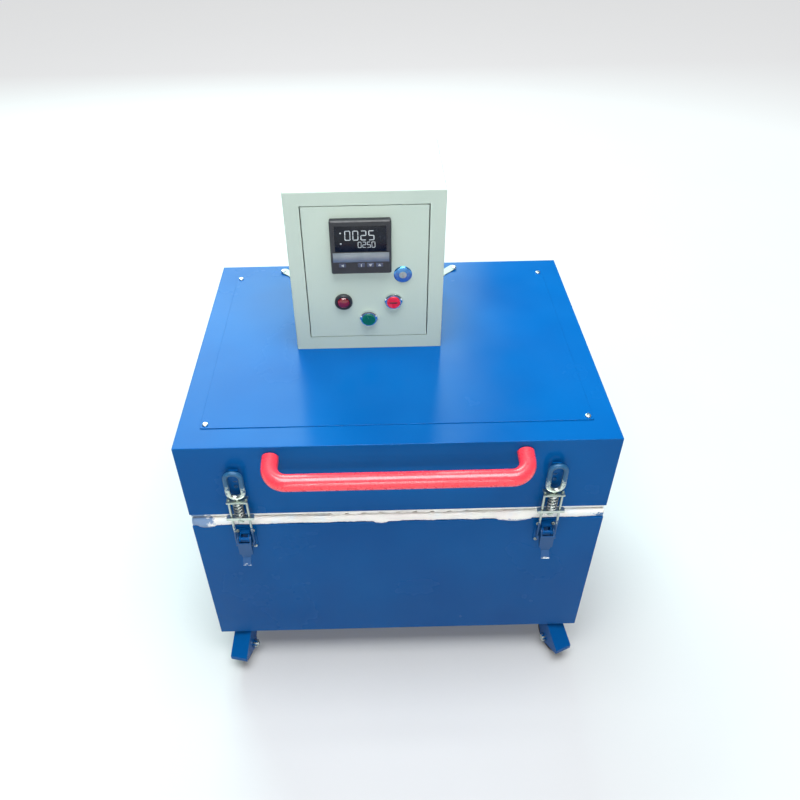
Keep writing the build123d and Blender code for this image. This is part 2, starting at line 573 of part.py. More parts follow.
def lid_screws():
    """Screws of the cover plate, cabinet feet, hinge leaves and handle, and the keepers' rivets."""
    screws = [screw((x, y, TOP_Z), (0, 0, 1), 2.5, 7, head=4.6, head_height=2.6) for x, y, _ in plate_holes]
    screws += [screw((x, y, TOP_Z + 2), (0, 0, 1), 2.5, 8, head=4.6, head_height=2.6)
               for x, y, _ in foot_holes]
    screws += [screw((x, REAR + LEAF, z), (0, 1, 0), 2.5, LEAF + 1.8) for x, _, z in lid_hinge_holes]
    screws += [screw((x, FRONT - 2, z), (0, -1, 0), 2.0, 2 + 1.8, head=3.6, head_height=1.8)
               for x, _, z in keeper_holes]
    for x, _, z in handle_holes:
        bolt = rod((x, FRONT - 13, z), (x, FRONT + SHEET, z), 3.9)
        screws.append(bolt + hex_bar((x, FRONT + SHEET, z), (x, FRONT + SHEET + 5.3, z), 13))
    return screws


def body_screws():
    """Screws of the rear hinge leaves, stops and cover, and the screws of the latch bases."""
    screws = [screw((x, REAR + LEAF, z), (0, 1, 0), 2.5, LEAF + 2.3) for x, _, z in body_hinge_holes]
    screws += [screw((x, REAR + 4, z), (0, 1, 0), 2.5, 4 + 2.3) for x, _, z in stop_holes]
    screws += [screw((x, REAR + SHEET, z), (0, 1, 0), 2.5, SHEET + 2.3) for x, _, z in cover_holes]
    return screws + [screw((x, FRONT - 2, z), (0, -1, 0), 2.0, 2 + 2.3, head=3.4, head_height=2.0)
                     for x, _, z in latch_holes]


# ---------------------------------------------------------------- control cabinet
CABINET_Z = (TOP_Z, TOP_Z + CABINET_HEIGHT)
DOOR_X = (CABINET_X - 99.0, CABINET_X + 99.0)
DOOR_Z = (TOP_Z + 27.0, TOP_Z + 275.0)
DOOR_GAP = 1.5
DOOR_FRAME_Z = (DOOR_Z[0] - DOOR_GAP, DOOR_Z[1] + DOOR_GAP)
DOOR_FOLD, FRAME_LIP = 12.0, 10.0
DOOR_PIVOT = (DOOR_X[0] + 3.5, CABINET_FRONT + 3.0)
DOOR_PIN = 2.0
CONTROLLER = (CABINET_X - 8.0, TOP_Z + 207.0, 96.0)
LAMP = (CABINET_X - 40.0, TOP_Z + 100.0)
STOP_BUTTON = (CABINET_X + 43.0, TOP_Z + 100.0)
START_BUTTON = (CABINET_X + 1.0, TOP_Z + 66.0)
LOCK = (CABINET_X + 58.5, TOP_Z + 151.0)
PILOT_HOLE, BEZEL_RADIUS = 11.1, 14.7
KEY_PLACES = [-30.0, 0.0, 14.5, 29.0]
KEY_SIZE = (11.0, 7.0)
KEY_DROP = 31.0                      # keys below the controller's centre
CABINET_GLAND = (CABINET_X + 80.0, CABINET_REAR, TOP_Z + 35.0)


def cabinet_shell():
    """Sheet box with a framed front opening whose edge is folded inward."""
    t = CABINET_SHEET
    left, right = CABINET_SIDES
    shell = folded_block((left, right), (CABINET_FRONT, CABINET_REAR), CABINET_Z, 2.0)
    shell -= block((left + t, right - t), (CABINET_FRONT + t, CABINET_REAR - t),
                   (CABINET_Z[0] + t, CABINET_Z[1] - t))
    opening_x = (DOOR_X[0] - DOOR_GAP, DOOR_X[1] + DOOR_GAP)
    lip = block((opening_x[0] - t, opening_x[1] + t), (CABINET_FRONT, CABINET_FRONT + FRAME_LIP),
                (DOOR_FRAME_Z[0] - t, DOOR_FRAME_Z[1] + t))
    shell += lip
    shell -= block(opening_x, (CABINET_FRONT - 1, CABINET_FRONT + FRAME_LIP + 1), DOOR_FRAME_Z)
    x, y = DOOR_PIVOT
    shell -= rod((x, y, DOOR_FRAME_Z[0] - 8), (x, y, DOOR_FRAME_Z[1] + 8), DOOR_PIN)
    return bored(shell, [CABINET_GLAND], (0, 1, 0), 10.2, 5)


def cabinet_feet():
    """Angled feet from the cabinet's rear corners to the lid."""
    feet = []
    for (side, corner), (hole_x, hole_y, _) in zip(FEET, foot_holes):
        upright_x = sorted((corner, corner - side * 22))
        foot = block(upright_x, (CABINET_REAR, CABINET_REAR + 2), (TOP_Z, TOP_Z + 26))
        foot += block(upright_x, (CABINET_REAR, CABINET_REAR + 14), (TOP_Z, TOP_Z + 2))
        start = (corner - side * 4, CABINET_REAR + 7)
        turn = 44 if side > 0 else 136
        length = ((hole_x - start[0]) ** 2 + (hole_y - start[1]) ** 2) ** 0.5
        strip = Pos(length / 2, 0, 1) * Box(length, 15, 2) + Pos(length, 0, 1) * Cylinder(7.5, 2)
        foot += Pos(*start, TOP_Z) * Rot(0, 0, turn) * strip
        feet.append(bored(foot, foot_holes, (0, 0, 1), M5_HOLE))
    return feet


def cabinet_door():
    """Inset sheet door with folded edges and the cut-outs of its devices."""
    t = CABINET_SHEET
    door = block(DOOR_X, (CABINET_FRONT, CABINET_FRONT + DOOR_FOLD), DOOR_Z)
    door = fillet(door.edges().filter_by(Axis.Z).sort_by(Axis.Y)[:2], 1.0)
    door -= block((DOOR_X[0] + t, DOOR_X[1] - t), (CABINET_FRONT + t, CABINET_FRONT + DOOR_FOLD),
                  (DOOR_Z[0] + t, DOOR_Z[1] - t))
    x, z, size = CONTROLLER
    cutout = (size - 4) / 2
    door -= block((x - cutout, x + cutout), (CABINET_FRONT - 1, CABINET_FRONT + 3), (z - cutout, z + cutout))
    pilots = [(px, CABINET_FRONT, pz) for px, pz in (LAMP, STOP_BUTTON, START_BUTTON)]
    door = bored(door, pilots, (0, 1, 0), PILOT_HOLE, 4)
    door = bored(door, [(LOCK[0], CABINET_FRONT, LOCK[1])], (0, 1, 0), 10.0, 4)
    x, y = DOOR_PIVOT
    return door - rod((x, y, DOOR_Z[0] - 1), (x, y, DOOR_Z[1] + 1), DOOR_PIN + RUNNING)


def temperature_controller():
    """Square panel controller: bezel with a stepped face, four key pockets and the case behind."""
    x, z, size = CONTROLLER
    half, proud = size / 2, 10.0
    face = CABINET_FRONT - proud
    bezel = block((x - half, x + half), (face, CABINET_FRONT), (z - half, z + half))
    bezel = fillet(bezel.edges().filter_by(Axis.Y), 3.0)
    bezel = chamfer(bezel.edges().group_by(Axis.Y)[0], 2.0)
    bezel -= block((x - 41, x + 41), (face - 1, face + 1.2), (z - 7, z + 39))
    case = size / 2 - 2.5
    depth = (CABINET_FRONT, CABINET_FRONT + 70)
    controller = bezel + block((x - case, x + case), depth, (z - case, z + case))
    for place in KEY_PLACES:
        key_x, key_z = x + place, z - KEY_DROP
        half_w, half_h = KEY_SIZE[0] / 2 + GAP, KEY_SIZE[1] / 2 + GAP
        controller -= block((key_x - half_w, key_x + half_w), (face - 1, face + 5),
                            (key_z - half_h, key_z + half_h))
    return controller


def controller_key(place):
    """Rubber key in its pocket, standing slightly proud of the bezel."""
    x, z = CONTROLLER[0] + place, CONTROLLER[1] - KEY_DROP
    face = CABINET_FRONT - 10
    width, height = KEY_SIZE
    key = block((x - width / 2, x + width / 2), (face - 1, face + 3.5), (z - height / 2, z + height / 2))
    key = fillet(key.edges().filter_by(Axis.Y), 1.5)
    return fillet(key.edges().group_by(Axis.Y)[0], 0.5)


def pilot_ring(place, proud):
    """Bezel, sleeve and contact block of a push button."""
    x, z = place
    front = CABINET_FRONT
    ring = rod((x, front - proud, z), (x, front, z), BEZEL_RADIUS)
    ring = chamfer(ring.edges().sort_by(Axis.Y)[0], 1.6)
    ring += rod((x, front, z), (x, front + 30, z), PILOT_HOLE - 0.2)
    ring += block((x - 14, x + 14), (front + 25, front + 55), (z - 14, z + 14))
    ring -= rod((x, front - proud - 1, z), (x, front - 1.5, z), 11.4)
    return ring - rod((x, front - 2, z), (x, front + 28, z), 8.6)


def push_button(place):
    """Cap and stem that slide in the bezel."""
    x, z = place
    front = CABINET_FRONT
    cap = rod((x, front - 9, z), (x, front - 5.2, z), 11.1)
    cap = fillet(cap.edges().sort_by(Axis.Y)[0], 1.0)
    return cap + rod((x, front - 5.2, z), (x, front + 22, z), 8.3)


def indicator_lamp():
    """Bezel with body, and the domed lens in it."""
    x, z = LAMP
    front = CABINET_FRONT
    bezel = rod((x, front - 6, z), (x, front, z), BEZEL_RADIUS)
    bezel = chamfer(bezel.edges().sort_by(Axis.Y)[0], 1.6)
    bezel += rod((x, front, z), (x, front + 40, z), PILOT_HOLE - 0.2)
    bezel -= rod((x, front - 7, z), (x, front + 5, z), 10.5)
    lens = rod((x, front - 9, z), (x, front + 4.5, z), 10.4)
    lens = fillet(lens.edges().sort_by(Axis.Y)[0], 4.0)
    return bezel, lens


def lock_housing():
    """Chromed escutcheon and barrel of the door lock."""
    x, z = LOCK
    front = CABINET_FRONT
    housing = rod((x, front - 3, z), (x, front, z), 15.0)
    housing = fillet(housing.edges().sort_by(Axis.Y)[0], 2.0)
    housing += rod((x, front, z), (x, front + 15.5, z), 9.8)
    return housing - rod((x, front - 4, z), (x, front + 17, z), 6.0 + RUNNING)


def lock_cam():
    """Key plug with a keyway, and the cam behind the door, upright when unlocked."""
    x, z = LOCK
    front = CABINET_FRONT
    plug = rod((x, front - 3.6, z), (x, front + 20, z), 6.0)
    plug -= block((x - 0.8, x + 0.8), (front - 5, front + 1), (z - 4, z + 4))
    cam = block((x - 6, x + 6), (front + 16, front + 18), (z - 8, z + 44))
    return plug + fillet(cam.edges().filter_by(Axis.Y), 3.0)


def mounting_plate():
    """Plate on four spacers at the back of the cabinet."""
    y = CABINET_REAR - 17
    plate = block((CABINET_X - 95, CABINET_X + 95), (y, y + 1.5), (TOP_Z + 30, TOP_Z + 270))
    for dx in (-85, 85):
        for z in (TOP_Z + 70, TOP_Z + 260):
            plate += rod((CABINET_X + dx, y, z), (CABINET_X + dx, CABINET_REAR - CABINET_SHEET, z), 4.0)
    return plate


def contactor():
    """Stepped contactor body with screw terminals above and below."""
    x, z, back = CABINET_X - 30, TOP_Z + 165, CABINET_REAR - 17
    body = block((x - 22.5, x + 22.5), (back - 50, back), (z - 38, z + 38))
    body += block((x - 22.5, x + 22.5), (back - 78, back - 50), (z - 24, z + 24))
    for i in range(4):
        terminal_x = x - 16.5 + 11 * i
        for terminal_z in (z - 31, z + 31):
            body += rod((terminal_x, back - 53, terminal_z), (terminal_x, back - 50, terminal_z), 3.4)
    return body


def terminal_block():
    """Row of clamp terminals low on the mounting plate."""
    low_x, z, back = CABINET_X - 62, TOP_Z + 70, CABINET_REAR - 17
    strip = block((low_x, low_x + 124), (back - 24, back), (z - 14, z + 14))
    for i in range(10):
        x = low_x + 8 + 12 * i
        strip -= block((x - 4, x + 4), (back - 25, back - 16), (z - 15, z - 6))
        strip -= block((x - 4, x + 4), (back - 25, back - 16), (z + 6, z + 15))
        strip += rod((x, back - 27, z), (x, back - 24, z), 3.2)
    return strip


# ---------------------------------------------------------------- write every node
write("body_shell", body_shell())
write("bottom_pan", bottom_pan())
write("fibre_backing", fibre_backing())
write("brick_walls", *brick_walls())
write("brick_floor", brick_floor())
write("rim_seal", rim_seal())
write("heating_elements", *heating_elements())
write("terminal_bushings", *terminal_bushings())
write("thermocouple", thermocouple())
write("terminal_cover", terminal_cover())
write("mains_gland", cable_gland((*MAINS_GLAND, COVER_Z[0]), (0, 0, -1), SHEET))
write("body_hinge_leaves", *body_hinge_leaves())
write("lid_stop_brackets", *lid_stop_brackets())
write("lid_stop_pads", *lid_stop_pads())
base, base_pin = latch_base()
bases = [bored(one, latch_holes, (0, 1, 0), M4_HOLE) for one in latch_pair(base)]
write("latch_bases", *bases, *latch_pair(base_pin))
write("body_screws", *body_screws())
write("caster_plates", *[Pos(x, y, 0) * caster_plate() for x, y, _ in CASTERS.values()])
write("caster_bolts", *caster_bolts())
for corner in CASTERS:
    write(f"caster_fork_{corner}", placed(corner, caster_fork()), placed(corner, caster_axle()))
    write(f"caster_wheel_{corner}", placed(corner, caster_wheel()))

write("lid_shell", lid_shell())
write("lid_top_plate", lid_top_plate())
write("lid_lining", *lid_lining())
write("lid_handle", lid_handle())
write("lid_hinge_leaves", *lid_hinge_leaves())
write("hinge_pins", *hinge_pins())
write("latch_keepers", *[bored(one, keeper_holes, (0, 1, 0), M4_HOLE) for one in latch_pair(latch_keeper())])
write("lid_screws", *lid_screws())
for name, piece in (("lever", latch_lever()), ("bail", latch_bail()),
                    ("eye", latch_eye()), ("spring", latch_spring())):
    for side, one in zip(("left", "right"), latch_pair(piece)):
        write(f"latch_{name}_{side}", one)

write("cabinet_shell", cabinet_shell())
write("cabinet_feet", *cabinet_feet())
write("mounting_plate", mounting_plate())
write("contactor", contactor())
write("terminal_block", terminal_block())
write("cabinet_gland", cable_gland(CABINET_GLAND, (0, 1, 0), CABINET_SHEET))
write("cabinet_door", cabinet_door())
write("temperature_controller", temperature_controller())
for number, place in enumerate(KEY_PLACES, 1):
    write(f"controller_key_{number}", controller_key(place))
write("indicator_lamp", *indicator_lamp())
write("button_bezels", pilot_ring(START_BUTTON, 7), pilot_ring(STOP_BUTTON, 7))
write("start_button", push_button(START_BUTTON))
write("stop_button", push_button(STOP_BUTTON))
write("lock_housing", lock_housing())
write("lock_cam", lock_cam())
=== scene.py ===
import json
from math import cos, pi, radians, sin, tau

import bmesh
import bpy
from mathutils import Matrix, Vector, noise


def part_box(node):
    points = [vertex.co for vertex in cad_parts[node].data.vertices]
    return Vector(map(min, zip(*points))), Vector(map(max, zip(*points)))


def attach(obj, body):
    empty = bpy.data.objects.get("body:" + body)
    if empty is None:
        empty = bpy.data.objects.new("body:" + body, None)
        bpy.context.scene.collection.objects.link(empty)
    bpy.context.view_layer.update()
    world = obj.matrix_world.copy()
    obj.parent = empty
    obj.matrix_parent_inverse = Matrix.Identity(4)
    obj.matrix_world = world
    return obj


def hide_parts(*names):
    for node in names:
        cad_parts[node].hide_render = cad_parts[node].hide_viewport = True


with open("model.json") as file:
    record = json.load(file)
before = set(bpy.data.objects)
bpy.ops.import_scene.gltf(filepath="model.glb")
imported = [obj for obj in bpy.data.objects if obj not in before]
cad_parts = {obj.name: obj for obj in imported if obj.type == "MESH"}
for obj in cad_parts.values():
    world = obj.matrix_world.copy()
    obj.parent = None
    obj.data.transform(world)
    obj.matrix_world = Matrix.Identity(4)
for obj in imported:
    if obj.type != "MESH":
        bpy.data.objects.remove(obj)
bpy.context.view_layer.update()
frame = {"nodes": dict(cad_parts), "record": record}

# Lengths are in metres; x is to the right, y to the rear and z up.
MM = 0.001


# ---------------------------------------------------------------- places, from the frame
def low(node):
    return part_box(node)[0]


def high(node):
    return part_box(node)[1]


def middle(node):
    return (low(node) + high(node)) / 2


# ---------------------------------------------------------------- materials
MIX_A, MIX_B, MIX_RESULT = 6, 7, 2  # the Mix node's sockets for colours


class Surface:
    """A node material. Textures use the object's own space, in metres."""

    def __init__(self, name, roughness, metallic=0.0, **constants):
        self.material = bpy.data.materials.new(name)
        self.material.use_nodes = True
        self.tree = self.material.node_tree
        self.shader = self.tree.nodes["Principled BSDF"]
        self.shader.inputs["Roughness"].default_value = roughness
        self.shader.inputs["Metallic"].default_value = metallic
        for socket, value in constants.items():
            self.shader.inputs[socket.replace("_", " ")].default_value = value
        self.place = self.add("ShaderNodeTexCoord").outputs["Object"]

    def add(self, kind, inputs=(), **settings):
        node = self.tree.nodes.new(kind)
        for key, value in settings.items():
            setattr(node, key, value)
        for socket, value in dict(inputs).items():
            self.put(node.inputs[socket], value)
        return node

    def put(self, socket, value):
        if isinstance(value, bpy.types.NodeSocket):
            self.tree.links.new(value, socket)
        else:
            socket.default_value = value

    def stretched(self, scale):
        """The object's space scaled by three factors, for streaks."""
        return self.add("ShaderNodeMapping", {"Vector": self.place, "Scale": scale}).outputs[0]

    def noise(self, scale, detail=3.0, roughness=0.55, place=None):
        node = self.add("ShaderNodeTexNoise", {"Vector": place or self.place, "Scale": scale,
                                               "Detail": detail, "Roughness": roughness})
        return node.outputs[0]

    def cells(self, scale):
        """Distance to the nearest of many scattered points."""
        node = self.add("ShaderNodeTexVoronoi", {"Vector": self.place, "Scale": scale})
        return node.outputs["Distance"]

    def between(self, value, low_in, high_in, low_out=0.0, high_out=1.0):
        """A value carried from one range to another, and held at the ends."""
        node = self.add("ShaderNodeMapRange", {"Value": value, "From Min": low_in, "From Max": high_in,
                                               "To Min": low_out, "To Max": high_out})
        return node.outputs[0]

    def math(self, operation, a, b):
        return self.add("ShaderNodeMath", {0: a, 1: b}, operation=operation).outputs[0]

    def along(self, axis):
        """One coordinate of the place, in metres."""
        return self.add("ShaderNodeSeparateXYZ", {0: self.place}).outputs[axis]

    def blend(self, share, a, b):
        """Colour a where the share is 0 and b where it is 1."""
        node = self.add("ShaderNodeMix", {0: share}, data_type="RGBA")
        self.put(node.inputs[MIX_A], a)
        self.put(node.inputs[MIX_B], b)
        return node.outputs[MIX_RESULT]

    def colour(self, value):
        self.put(self.shader.inputs["Base Color"], value)
        return self

    def rough(self, value):
        self.put(self.shader.inputs["Roughness"], value)
        return self

    def relief(self, *layers):
        """Bumps one on another, each (height from 0 to 1, depth in metres)."""
        normal = None
        for height, depth in layers:
            node = self.add("ShaderNodeBump", {"Height": height, "Distance": depth})
            if normal is not None:
                self.put(node.inputs["Normal"], normal)
            normal = node.outputs[0]
        self.put(self.shader.inputs["Normal"], normal)
        return self


def rgb(red, green, blue):
    """Colour in the shader's linear values from the 0 to 255 values that a screen shows."""
    def linear(value):
        value /= 255
        return value / 12.92 if value <= 0.04045 else ((value + 0.055) / 1.055) ** 2.4
    return (linear(red), linear(green), linear(blue), 1.0)


def paint(name, main, shade, dust, gloss=(0.16, 0.30), waves=0.0006, peel=0.00003, shine=0.09):
    """Sprayed enamel on sheet: soft drifts of tone, orange peel, slightly wavy panels and dust."""
    s = Surface(name, 0.25, Specular_IOR_Level=shine)
    drift = s.noise(5.0, 2.0)
    streak = s.noise(9.0, 3.0, place=s.stretched((1.0, 1.0, 0.18)))
    tone = s.blend(s.between(drift, 0.35, 0.68), main, shade)
    tone = s.blend(s.between(streak, 0.5, 0.75, 0.0, 0.35), tone, main)
    specks = s.between(s.cells(260.0), 0.04, 0.015, 0.0, 0.5)
    grime = s.math("MULTIPLY", specks, s.between(s.noise(14.0), 0.5, 0.62))
    s.colour(s.blend(grime, tone, dust))
    s.rough(s.between(s.noise(7.0, 4.0), 0.3, 0.7, *gloss))
    return s.relief((s.noise(4.5, 1.0), waves), (s.noise(420.0, 2.0), peel)).material


def metal(name, bright, dull, gloss, grain=(1.0, 1.0, 1.0), scale=160.0, depth=0.00002, stain=None):
    """Bare or plated metal with a grain along one axis and slightly duller patches."""
    s = Surface(name, 0.35, 1.0)
    patches = s.between(s.noise(38.0, 4.0), 0.4, 0.66)
    tone = s.blend(patches, bright, dull)
    if stain:
        tone = s.blend(s.between(s.noise(60.0, 5.0), 0.58, 0.70), tone, stain)
    s.colour(tone)
    fine = s.noise(scale, 3.0, place=s.stretched(grain))
    s.rough(s.between(fine, 0.3, 0.7, *gloss))
    return s.relief((fine, depth)).material


def plastic(name, main, shade, gloss, grain=600.0, depth=0.00002, **constants):
    """Moulded plastic or rubber: fine grain, faint tone changes and handling marks."""
    s = Surface(name, 0.4, **constants)
    s.colour(s.blend(s.between(s.noise(45.0, 4.0), 0.4, 0.7), main, shade))
    s.rough(s.between(s.noise(90.0, 5.0), 0.35, 0.65, *gloss))
    return s.relief((s.noise(grain, 2.0), depth)).material


# Overspray on the seal, and a painted highlight of the casing's rim on its lower edge, in metres: where
# each patch starts and where it is full.
SPRAY_FRONT_Y = (-0.247, -0.251)
SPRAY_LEFT_X = (-0.302, -0.312)
SPRAY_RIGHT_X, SPRAY_RIGHT_Z = (0.322, 0.330), (0.4210, 0.4190)
RIM_HIGHLIGHT_Z = (0.4122, 0.4106)


def overspray(s):
    """Share of blue on the seal's front: overspray at its left end and its lower right corner, and a
    painted highlight of the casing's rim along its lower edge.
    """
    x = s.math("ADD", s.along("X"), s.between(s.noise(110.0), 0.3, 0.7, -0.012, 0.012))
    z = s.math("ADD", s.along("Z"), s.between(s.noise(160.0), 0.3, 0.7, -0.003, 0.003))
    left = s.between(x, *SPRAY_LEFT_X, 0.0, 0.85)
    right = s.math("MULTIPLY", s.between(x, *SPRAY_RIGHT_X), s.between(z, *SPRAY_RIGHT_Z))
    # Painted highlight: a light blue fringe along the seal's lower edge stands for the casing rim's bright
    # edge.
    lower = s.between(z, *RIM_HIGHLIGHT_Z, 0.0, 0.55)
    patches = s.math("MAXIMUM", s.math("MAXIMUM", left, right), lower)
    return s.math("MULTIPLY", s.between(s.along("Y"), *SPRAY_FRONT_Y), patches)


def clean_edge(s, node, width):
    """1 at a node's four sides, falling to 0 at this width inside them."""
    start, end = low(node), high(node)
    share = s.between(s.along("X"), start.x + width, start.x + width / 2)
    for axis, inner, outer in (("X", end.x - width, end.x - width / 2),
                               ("Y", end.y - width, end.y - width / 2),
                               ("Y", start.y + width, start.y + width / 2)):
        share = s.math("MAXIMUM", share, s.between(s.along(axis), inner, outer))
    return share


def fibre(name, node, width):
    """Ceramic fibre blanket: off-white with warm and cool tints, matted strands, painted shade where they
    sink, and soft pits. Heat has yellowed it, except for a clean edge of this width round the node."""
    s = Surface(name, 0.95, Sheen_Weight=0.35, Sheen_Roughness=0.6)
    warm = s.blend(s.between(s.noise(16.0, 3.0), 0.38, 0.62), rgb(255, 255, 249), rgb(255, 249, 246))
    tint = s.blend(s.between(s.noise(30.0, 3.0), 0.52, 0.72), warm, rgb(247, 252, 255))
    strands = s.noise(700.0, 6.0, 0.7, place=s.stretched((1.0, 1.0, 2.2)))
    # Painted shade: the fibre greys where the strands sink, in the hollows between them.
    blanket = s.blend(s.between(strands, 0.42, 0.30, 0.0, 0.3), tint, rgb(206, 198, 190))
    heat = s.between(clean_edge(s, node, width), 0.0, 1.0, 0.55, 0.0)
    blanket = s.blend(heat, blanket, rgb(152, 142, 126))
    # Blue overspray at the ends, and along the lower edge a painted highlight of the casing's rim.
    s.colour(s.blend(overspray(s), blanket, rgb(30, 110, 170)))
    return s.relief((s.noise(120.0, 5.0, 0.65), 0.0012), (strands, 0.0005)).material


def firebrick(name, main, shade):
    """Insulating firebrick: sawn face with open pores in painted shade, crumbs and iron specks."""
    s = Surface(name, 0.97)
    tone = s.blend(s.between(s.noise(22.0, 4.0), 0.35, 0.65), main, shade)
    pores = s.between(s.cells(520.0), 0.34, 0.16)
    shaded_pores = s.math("MULTIPLY", pores, s.between(s.noise(140.0, 4.0), 0.42, 0.60))
    # Painted shade: the pores are darker, as if shade lay in them.
    tone = s.blend(shaded_pores, tone, rgb(150, 128, 100))
    iron = s.math("MULTIPLY", s.between(s.cells(150.0), 0.09, 0.05), s.between(s.noise(60.0), 0.5, 0.6))
    s.colour(s.blend(iron, tone, rgb(96, 58, 38)))
    crumbs = s.noise(260.0, 6.0, 0.7)
    return s.relief((s.math("SUBTRACT", crumbs, shaded_pores), 0.0009)).material


def sprayed(name, bare, cover, bare_z, covered_z, most):
    """Plated steel with overspray of the casing's paint, bare at one height and covered at another."""
    s = Surface(name, 0.35)
    rise = s.between(s.along("Z"), bare_z, covered_z, 0.05, most)
    speckle = s.between(s.noise(260.0, 4.0), 0.35, 0.65, -0.4, 0.4)
    share = s.between(s.math("ADD", rise, speckle), 0.3, 0.75)
    s.colour(s.blend(share, bare, cover))
    s.put(s.shader.inputs["Metallic"], s.between(share, 0.0, 1.0, 1.0, 0.1))
    s.rough(s.between(share, 0.0, 1.0, 0.28, 0.42))
    return s.relief((s.noise(300.0, 3.0), 0.00004)).material


def fitting(name, bare, moulded, door):
    """Chromed ring in front of a door, moulded body behind it."""
    s = Surface(name, 0.3)
    behind = s.between(s.along("Y"), door + 0.0002, door + 0.0012)
    s.colour(s.blend(behind, bare, moulded))
    s.put(s.shader.inputs["Metallic"], s.between(behind, 0.0, 1.0, 1.0, 0.0))
    s.rough(s.between(behind, 0.0, 1.0, 0.10, 0.48))
    return s.relief((s.noise(300.0, 3.0), 0.000004)).material


def glowing(name, tone, strength, **constants):
    """Lit figures behind a matt film."""
    s = Surface(name, 0.45, Emission_Color=tone, Emission_Strength=strength, **constants)
    s.colour(s.blend(s.noise(400.0), tone, rgb(170, 176, 180)))
    return s.relief((s.noise(900.0), 0.00001)).material


BLUE, DEEP_BLUE = rgb(2, 84, 150), rgb(3, 77, 142)
CHROME, BLACK = rgb(226, 230, 234), rgb(34, 37, 42)
SEAL_EDGE, LINING_EDGE = 0.014, 0.003  # widths of fibre that stay clean
looks = {
    "blue_paint": paint("blue_paint", BLUE, DEEP_BLUE, rgb(150, 180, 205)),
    "cabinet_paint": paint("cabinet_paint", rgb(174, 188, 178), rgb(168, 183, 174), rgb(140, 142, 132),
                           gloss=(0.38, 0.50), waves=0.0003, peel=0.00005, shine=0.2),
    "red_grip": plastic("red_grip", rgb(240, 60, 74), rgb(237, 55, 69), (0.24, 0.34), 90.0, 0.00002,
                        Coat_Weight=0.25),
    "zinc_steel": metal("zinc_steel", rgb(198, 206, 200), rgb(150, 160, 156), (0.28, 0.48),
                        stain=rgb(120, 112, 92)),
    "galvanised": metal("galvanised", rgb(184, 190, 190), rgb(164, 171, 172), (0.36, 0.48),
                        depth=0.00001),
    "spring_steel": metal("spring_steel", rgb(190, 194, 190), rgb(128, 130, 126), (0.25, 0.42)),
    "fibre": fibre("fibre", "rim_seal", SEAL_EDGE),
    "lining_fibre": fibre("lining_fibre", "lid_lining", LINING_EDGE),
    "bezel": fitting("bezel", CHROME, BLACK, low("cabinet_door").y),
    "firebrick": firebrick("firebrick", rgb(238, 224, 190), rgb(226, 206, 164)),
    "element_alloy": metal("element_alloy", rgb(126, 118, 112), rgb(84, 76, 72), (0.5, 0.7),
                           stain=rgb(70, 52, 42)),
    "white_ceramic": plastic("white_ceramic", rgb(236, 232, 220), rgb(224, 216, 200), (0.35, 0.55), 240.0),
    "black_plastic": plastic("black_plastic", BLACK, rgb(26, 28, 33), (0.32, 0.5)),
    "grey_plastic": plastic("grey_plastic", rgb(150, 153, 152), rgb(136, 140, 140), (0.42, 0.6)),
    "terminal_plastic": plastic("terminal_plastic", rgb(62, 104, 70), rgb(52, 92, 60), (0.4, 0.55)),
    "rubber": plastic("rubber", rgb(38, 38, 40), rgb(54, 53, 52), (0.62, 0.85), 420.0, 0.00008),
    "key_rubber": plastic("key_rubber", rgb(62, 70, 92), rgb(54, 60, 82), (0.5, 0.65)),
    "green_plastic": plastic("green_plastic", rgb(0, 96, 74), rgb(0, 80, 62), (0.18, 0.28),
                             Coat_Weight=0.4),
    "display_glass": plastic("display_glass", rgb(10, 14, 22), rgb(16, 22, 34), (0.22, 0.32), 200.0,
                             0.000004, Specular_IOR_Level=0.25),
    "figures": glowing("figures", rgb(158, 166, 170), 0.06),
    # Painted reflection: the chrome lock cover is tinted with the lid's blue, which chrome only mirrors.
    "chrome_blue_reflection": metal("chrome_blue_reflection", rgb(96, 172, 226), rgb(60, 128, 196), (0.10, 0.20), depth=0.000003),
    "silver_band": metal("silver_band", rgb(150, 158, 162), rgb(136, 146, 150), (0.42, 0.5),
                         grain=(1.0, 1.0, 40.0), scale=60.0, depth=0.000004),
    "lamp_lens": plastic("lamp_lens", rgb(120, 16, 34), rgb(84, 8, 24), (0.08, 0.16), 300.0, 0.00001,
                         Coat_Weight=0.8),
    "stop_mark": plastic("stop_mark", rgb(92, 10, 26), rgb(74, 8, 22), (0.3, 0.4)),
    "wheel_centre": plastic("wheel_centre", rgb(66, 68, 72), rgb(54, 56, 60), (0.4, 0.55), 260.0, 0.00003),
    "sprayed_eye": sprayed("sprayed_eye", rgb(206, 216, 206), rgb(30, 84, 122),
                           bare_z=0.503, covered_z=0.532, most=1.15),
    "sprayed_bail": sprayed("sprayed_bail", rgb(190, 200, 190), rgb(14, 74, 126),
                            bare_z=0.430, covered_z=0.404, most=1.1),
    "sprayed_screws": sprayed("sprayed_screws", rgb(214, 220, 218), rgb(8, 72, 122),
                              bare_z=0.585, covered_z=0.560, most=1.3),
    "sprayed_lever": sprayed("sprayed_lever", rgb(224, 230, 226), rgb(12, 74, 128),
                             bare_z=0.342, covered_z=0.350, most=1.2),
    "red_plastic": plastic("red_plastic", rgb(206, 28, 52), rgb(190, 20, 44), (0.2, 0.3), Coat_Weight=0.4),
}

# Slots and nodes whose look has another name than their slot.
slot_looks = {"ceramic_fibre": "fibre"}
node_looks = {f"latch_{part}_{side}": f"sprayed_{part}" for part in ("eye", "lever", "bail")
              for side in ("left", "right")}
node_looks.update(lid_screws="sprayed_screws", lock_housing="chrome_blue_reflection", lock_cam="zinc_steel",
                  button_bezels="bezel", mounting_plate="galvanised")


